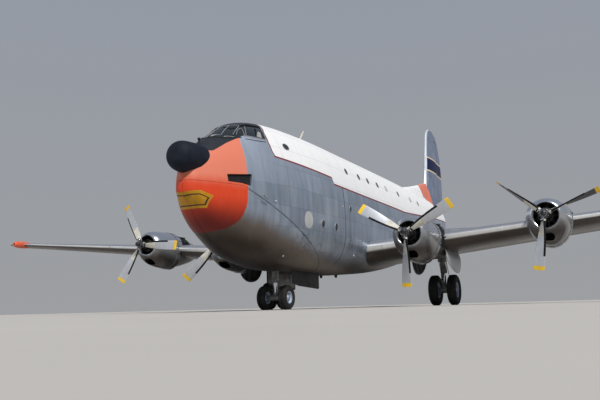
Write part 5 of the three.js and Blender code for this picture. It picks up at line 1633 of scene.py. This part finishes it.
nose_gear = Build()
foot, hub_at = (0, NOSE_S, 0), (0, NOSE_S, NOSE_R)
barrel = [(0.14, 1.312), (0.17, 1.34), (0.17, 1.6), (0.155, 1.63), (0.155, 2.2), (0.17, 2.24), (0.17, 2.72)]
nose_gear.lathe([(0.092, 1.312), *barrel, (0.092, 2.72), (0.092, 1.312)], foot, Z_WAY, 32)
for level in (1.4, 1.75, 2.22):
    collar(nose_gear, (0, NOSE_S, level), Z_WAY, 0.14, 0.19, 0.028)
pin(nose_gear, (0, NOSE_S, 2.5), 0.595, 0.08, 18)
lamp = smooth_path([(0, -0.03), (0.05, -0.03), (0.062, 0.0), (0.06, 0.03), (0.03, 0.09), (0, 0.1)], 3)
for way in (1, -1):
    low, high = Vector((0.14 * way, NOSE_S + 0.06, 1.75)), Vector((0.14 * way, NOSE_S + 0.95, 2.62))
    brace(nose_gear, low, high, (0.45, 0.43), (0.038, 14), (0.06, 16))
    nose_gear.lathe(lamp, (0.24 * way, NOSE_S - 0.08, 1.98), S_WAY, 20)
    nose_gear.tube([(0.12 * way, NOSE_S - 0.04, 1.98), (0.24 * way, NOSE_S - 0.04, 1.98)], 0.02, 10, 1)
    bends = ((0.1, -0.15, 2.5), (0.16, -0.2, 2.0), (0.13, -0.18, 1.5), (0.09, -0.13, 1.36))
    nose_gear.tube(smooth_path([(x * way, NOSE_S + s, z) for x, s, z in bends], 5), 0.012, 8, 1)
nose_gear.box(-0.25, 0.25, NOSE_S + 0.8, NOSE_S + 1.05, 2.52, 2.715)
nose_gear.make("nose_strut", GEAR_LOOKS, "gear_steel", ("nose_leg",), sharp=35, bevel=0.006)
nose_fork = Build()
hub = [
    (0.062, -0.27), (0.11, -0.27), (0.13, -0.25), (0.13, 0.25), (0.11, 0.27), (0.062, 0.27), (0.062, -0.27),
]
nose_fork.lathe(hub, hub_at, X_WAY, 32)
disc(nose_fork, 0.09, 1.75, foot, Z_WAY, 28, 2, NOSE_R + 0.11)
nose_fork.lathe([(0.088, 0.66), (0.13, 0.66), (0.12, 0.76), (0.088, 0.78), (0.088, 0.66)], foot, Z_WAY, 28)
collar(nose_fork, (0, NOSE_S, 1.26), Z_WAY, 0.085, 0.16, 0.04)
elbow = (0, NOSE_S + 0.29, 0.95)
for back, level in ((0.1, 0.63), (0.12, 1.25)):
    link_arm(nose_fork, (0, NOSE_S + back, level), elbow, 0.14, 0.04)
pin(nose_fork, elbow, 0.05, 0.025, 12, 1)
nose_fork.make("nose_yoke", GEAR_LOOKS, "gear_steel", ("nose_fork",), "nose_fork", 35)

# Doors of the nose gear
NOSE_DOOR = [
    (8.75, 1.86), (8.75, 1.25), (8.82, 1.19), (9.4, 1.08), (11.68, 0.955), (11.75, 1.02), (11.75, 1.86),
]
nose_door = Build()
nose_door.prism(NOSE_DOOR, 0.642, 0.66)
nose_door.prism([(8.84, 1.80), (8.84, 1.28), (9.42, 1.16), (11.66, 1.04), (11.66, 1.80)], 0.628, 0.641, 1)
for s in (9.3, 9.9, 10.5, 11.1):
    nose_door.box(0.62, 0.643, s - 0.03, s + 0.03, 1.2, 1.84, 1)
nose_door.box(0.62, 0.643, 8.86, 11.64, 1.44, 1.5, 1)
for _, side in SIDES:
    panel, replaced = nose_door.sided(side), (f"nose_gear_door_{side}",)
    panel.make(f"nose_gear_panel_{side}", [DOOR_SHADE_GREY, GEAR_PAINT_SHADED], "bare_metal", replaced, bevel=0.004)

# Heater pods under the wing tips
POD_X, POD_LIP = 24.9, 0.1
pod = Build()
place = wing_at(POD_X)
pod_at = (POD_X, place["lead"] - 0.75, place["z"] - 0.05)
bulge = smooth_path([(0, 0), (0.12, 0.04), (0.2, 0.2), (0.24, 0.5), (0.22, 1.2), (POD_LIP, 1.9), (0, 2.0)], 5)
hull = [(radius, back) for radius, back in bulge if radius > POD_LIP or back > 1]
pod.lathe([(0, 0.16), (0.07, 0.15), (0.085, 0.06), (0.1, 0.03), *hull], pod_at, S_WAY, 36)
disc(pod, 0.08, 0.16, pod_at, S_WAY, 24, 1, 0.13)
for _, side in SIDES:
    looks, replaced = [ORANGE_PAINT, SOOT_AND_SHADE], (f"heater_pod_{side}",)
    pod.sided(side).make(f"pod_skin_{side}", looks, "orange_paint", replaced, sharp=40)

# Finishes of the CAD pieces that stay
CAD_LOOKS = {
    "cargo_floor": FLOOR_WOOD, "flight_deck": DECK_GREY, "instrument_panel": PANEL_DARK,
    "pilot_seat_left": SEAT_CLOTH, "pilot_seat_right": SEAT_CLOTH,
}
CAD_BEVEL = 0.004
for name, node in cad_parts.items():
    if not node.hide_render:
        node.data.materials.clear()
        node.data.materials.append(CAD_LOOKS[name])
        soften(node, CAD_BEVEL)

# Floor
FLOOR_HALF = 400
mesh = bpy.data.meshes.new("floor")
corners = [(FLOOR_HALF * a, FLOOR_HALF * b, 0) for a, b in ((-1, -1), (1, -1), (1, 1), (-1, 1))]
mesh.from_pydata(corners, [], [(0, 1, 2, 3)])
pale = Look("floor_pale", 0.9)
pale_colour = pale.mix(pale.noise(3.0, 3), (0.46, 0.44, 0.41), (0.50, 0.48, 0.45))
new_object("floor", mesh, [pale.done(pale_colour)])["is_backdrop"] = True

# Sky, paler near the horizon
SKY = ((0.0, (0.80, 0.82, 0.85, 1)), (0.8, (0.62, 0.72, 0.92, 1)))
SKY_STRENGTH = 0.42
world = bpy.data.worlds.new("studio")
scene.world = world
world.use_nodes = True
tree = world.node_tree
back = tree.nodes["Background"]
split, fade = tree.nodes.new("ShaderNodeSeparateXYZ"), tree.nodes.new("ShaderNodeValToRGB")
for stop, (position, colour) in zip(fade.color_ramp.elements, SKY):
    stop.position = position
    stop.color = colour
tree.links.new(tree.nodes.new("ShaderNodeTexCoord").outputs["Generated"], split.inputs[0])
tree.links.new(split.outputs[2], fade.inputs[0])
tree.links.new(fade.outputs[0], back.inputs[0])
back.inputs[1].default_value = SKY_STRENGTH
scene.view_settings.view_transform = "Standard"


def sun(name, energy, place, aim, degrees, colour):
    data = bpy.data.lights.new(name, "SUN")
    data.energy = energy
    data.color = colour
    data.angle = math.radians(degrees)
    light = bpy.data.objects.new(name, data)
    scene.collection.objects.link(light)
    light.location = place
    light.rotation_euler = (Vector(aim) - Vector(place)).to_track_quat("-Z", "Y").to_euler()


sun("key", 3.3, (16, -18, 26), (0, -4, 2), 6, (1.0, 0.96, 0.90))
sun("fill", 0.25, (-26, -14, 14), (0, -2, 2), 40, (0.90, 0.95, 1.0))

# Camera
EYE = (7.442, -20.222, 0.045)
YAW, PITCH, ROLL = (math.radians(degrees) for degrees in (25.495, 8.747, -1.47))
SENSOR = 36.0
# Focal length over the picture's width, both in pixels
FOCUS = 697.326 / 600
data = bpy.data.cameras.new("camera")
camera = new_object("camera", data)
scene.camera = camera
data.sensor_fit = "HORIZONTAL"
data.sensor_width = SENSOR
data.lens = FOCUS * SENSOR
data.clip_start = 0.05
data.clip_end = 2000
ahead = Vector((-math.sin(YAW) * math.cos(PITCH), math.cos(YAW) * math.cos(PITCH), math.sin(PITCH)))
level = Vector((math.cos(YAW), math.sin(YAW), 0))
above = level.cross(ahead)
right = level * math.cos(ROLL) + above * math.sin(ROLL)
up = above * math.cos(ROLL) - level * math.sin(ROLL)
turn = Matrix((right, up, -ahead)).transposed()
camera.matrix_world = Matrix.Translation(EYE) @ turn.to_4x4()

low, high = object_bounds()
{"cad": [list(cad_low), list(cad_high)], "visual": [list(low), list(high)]}
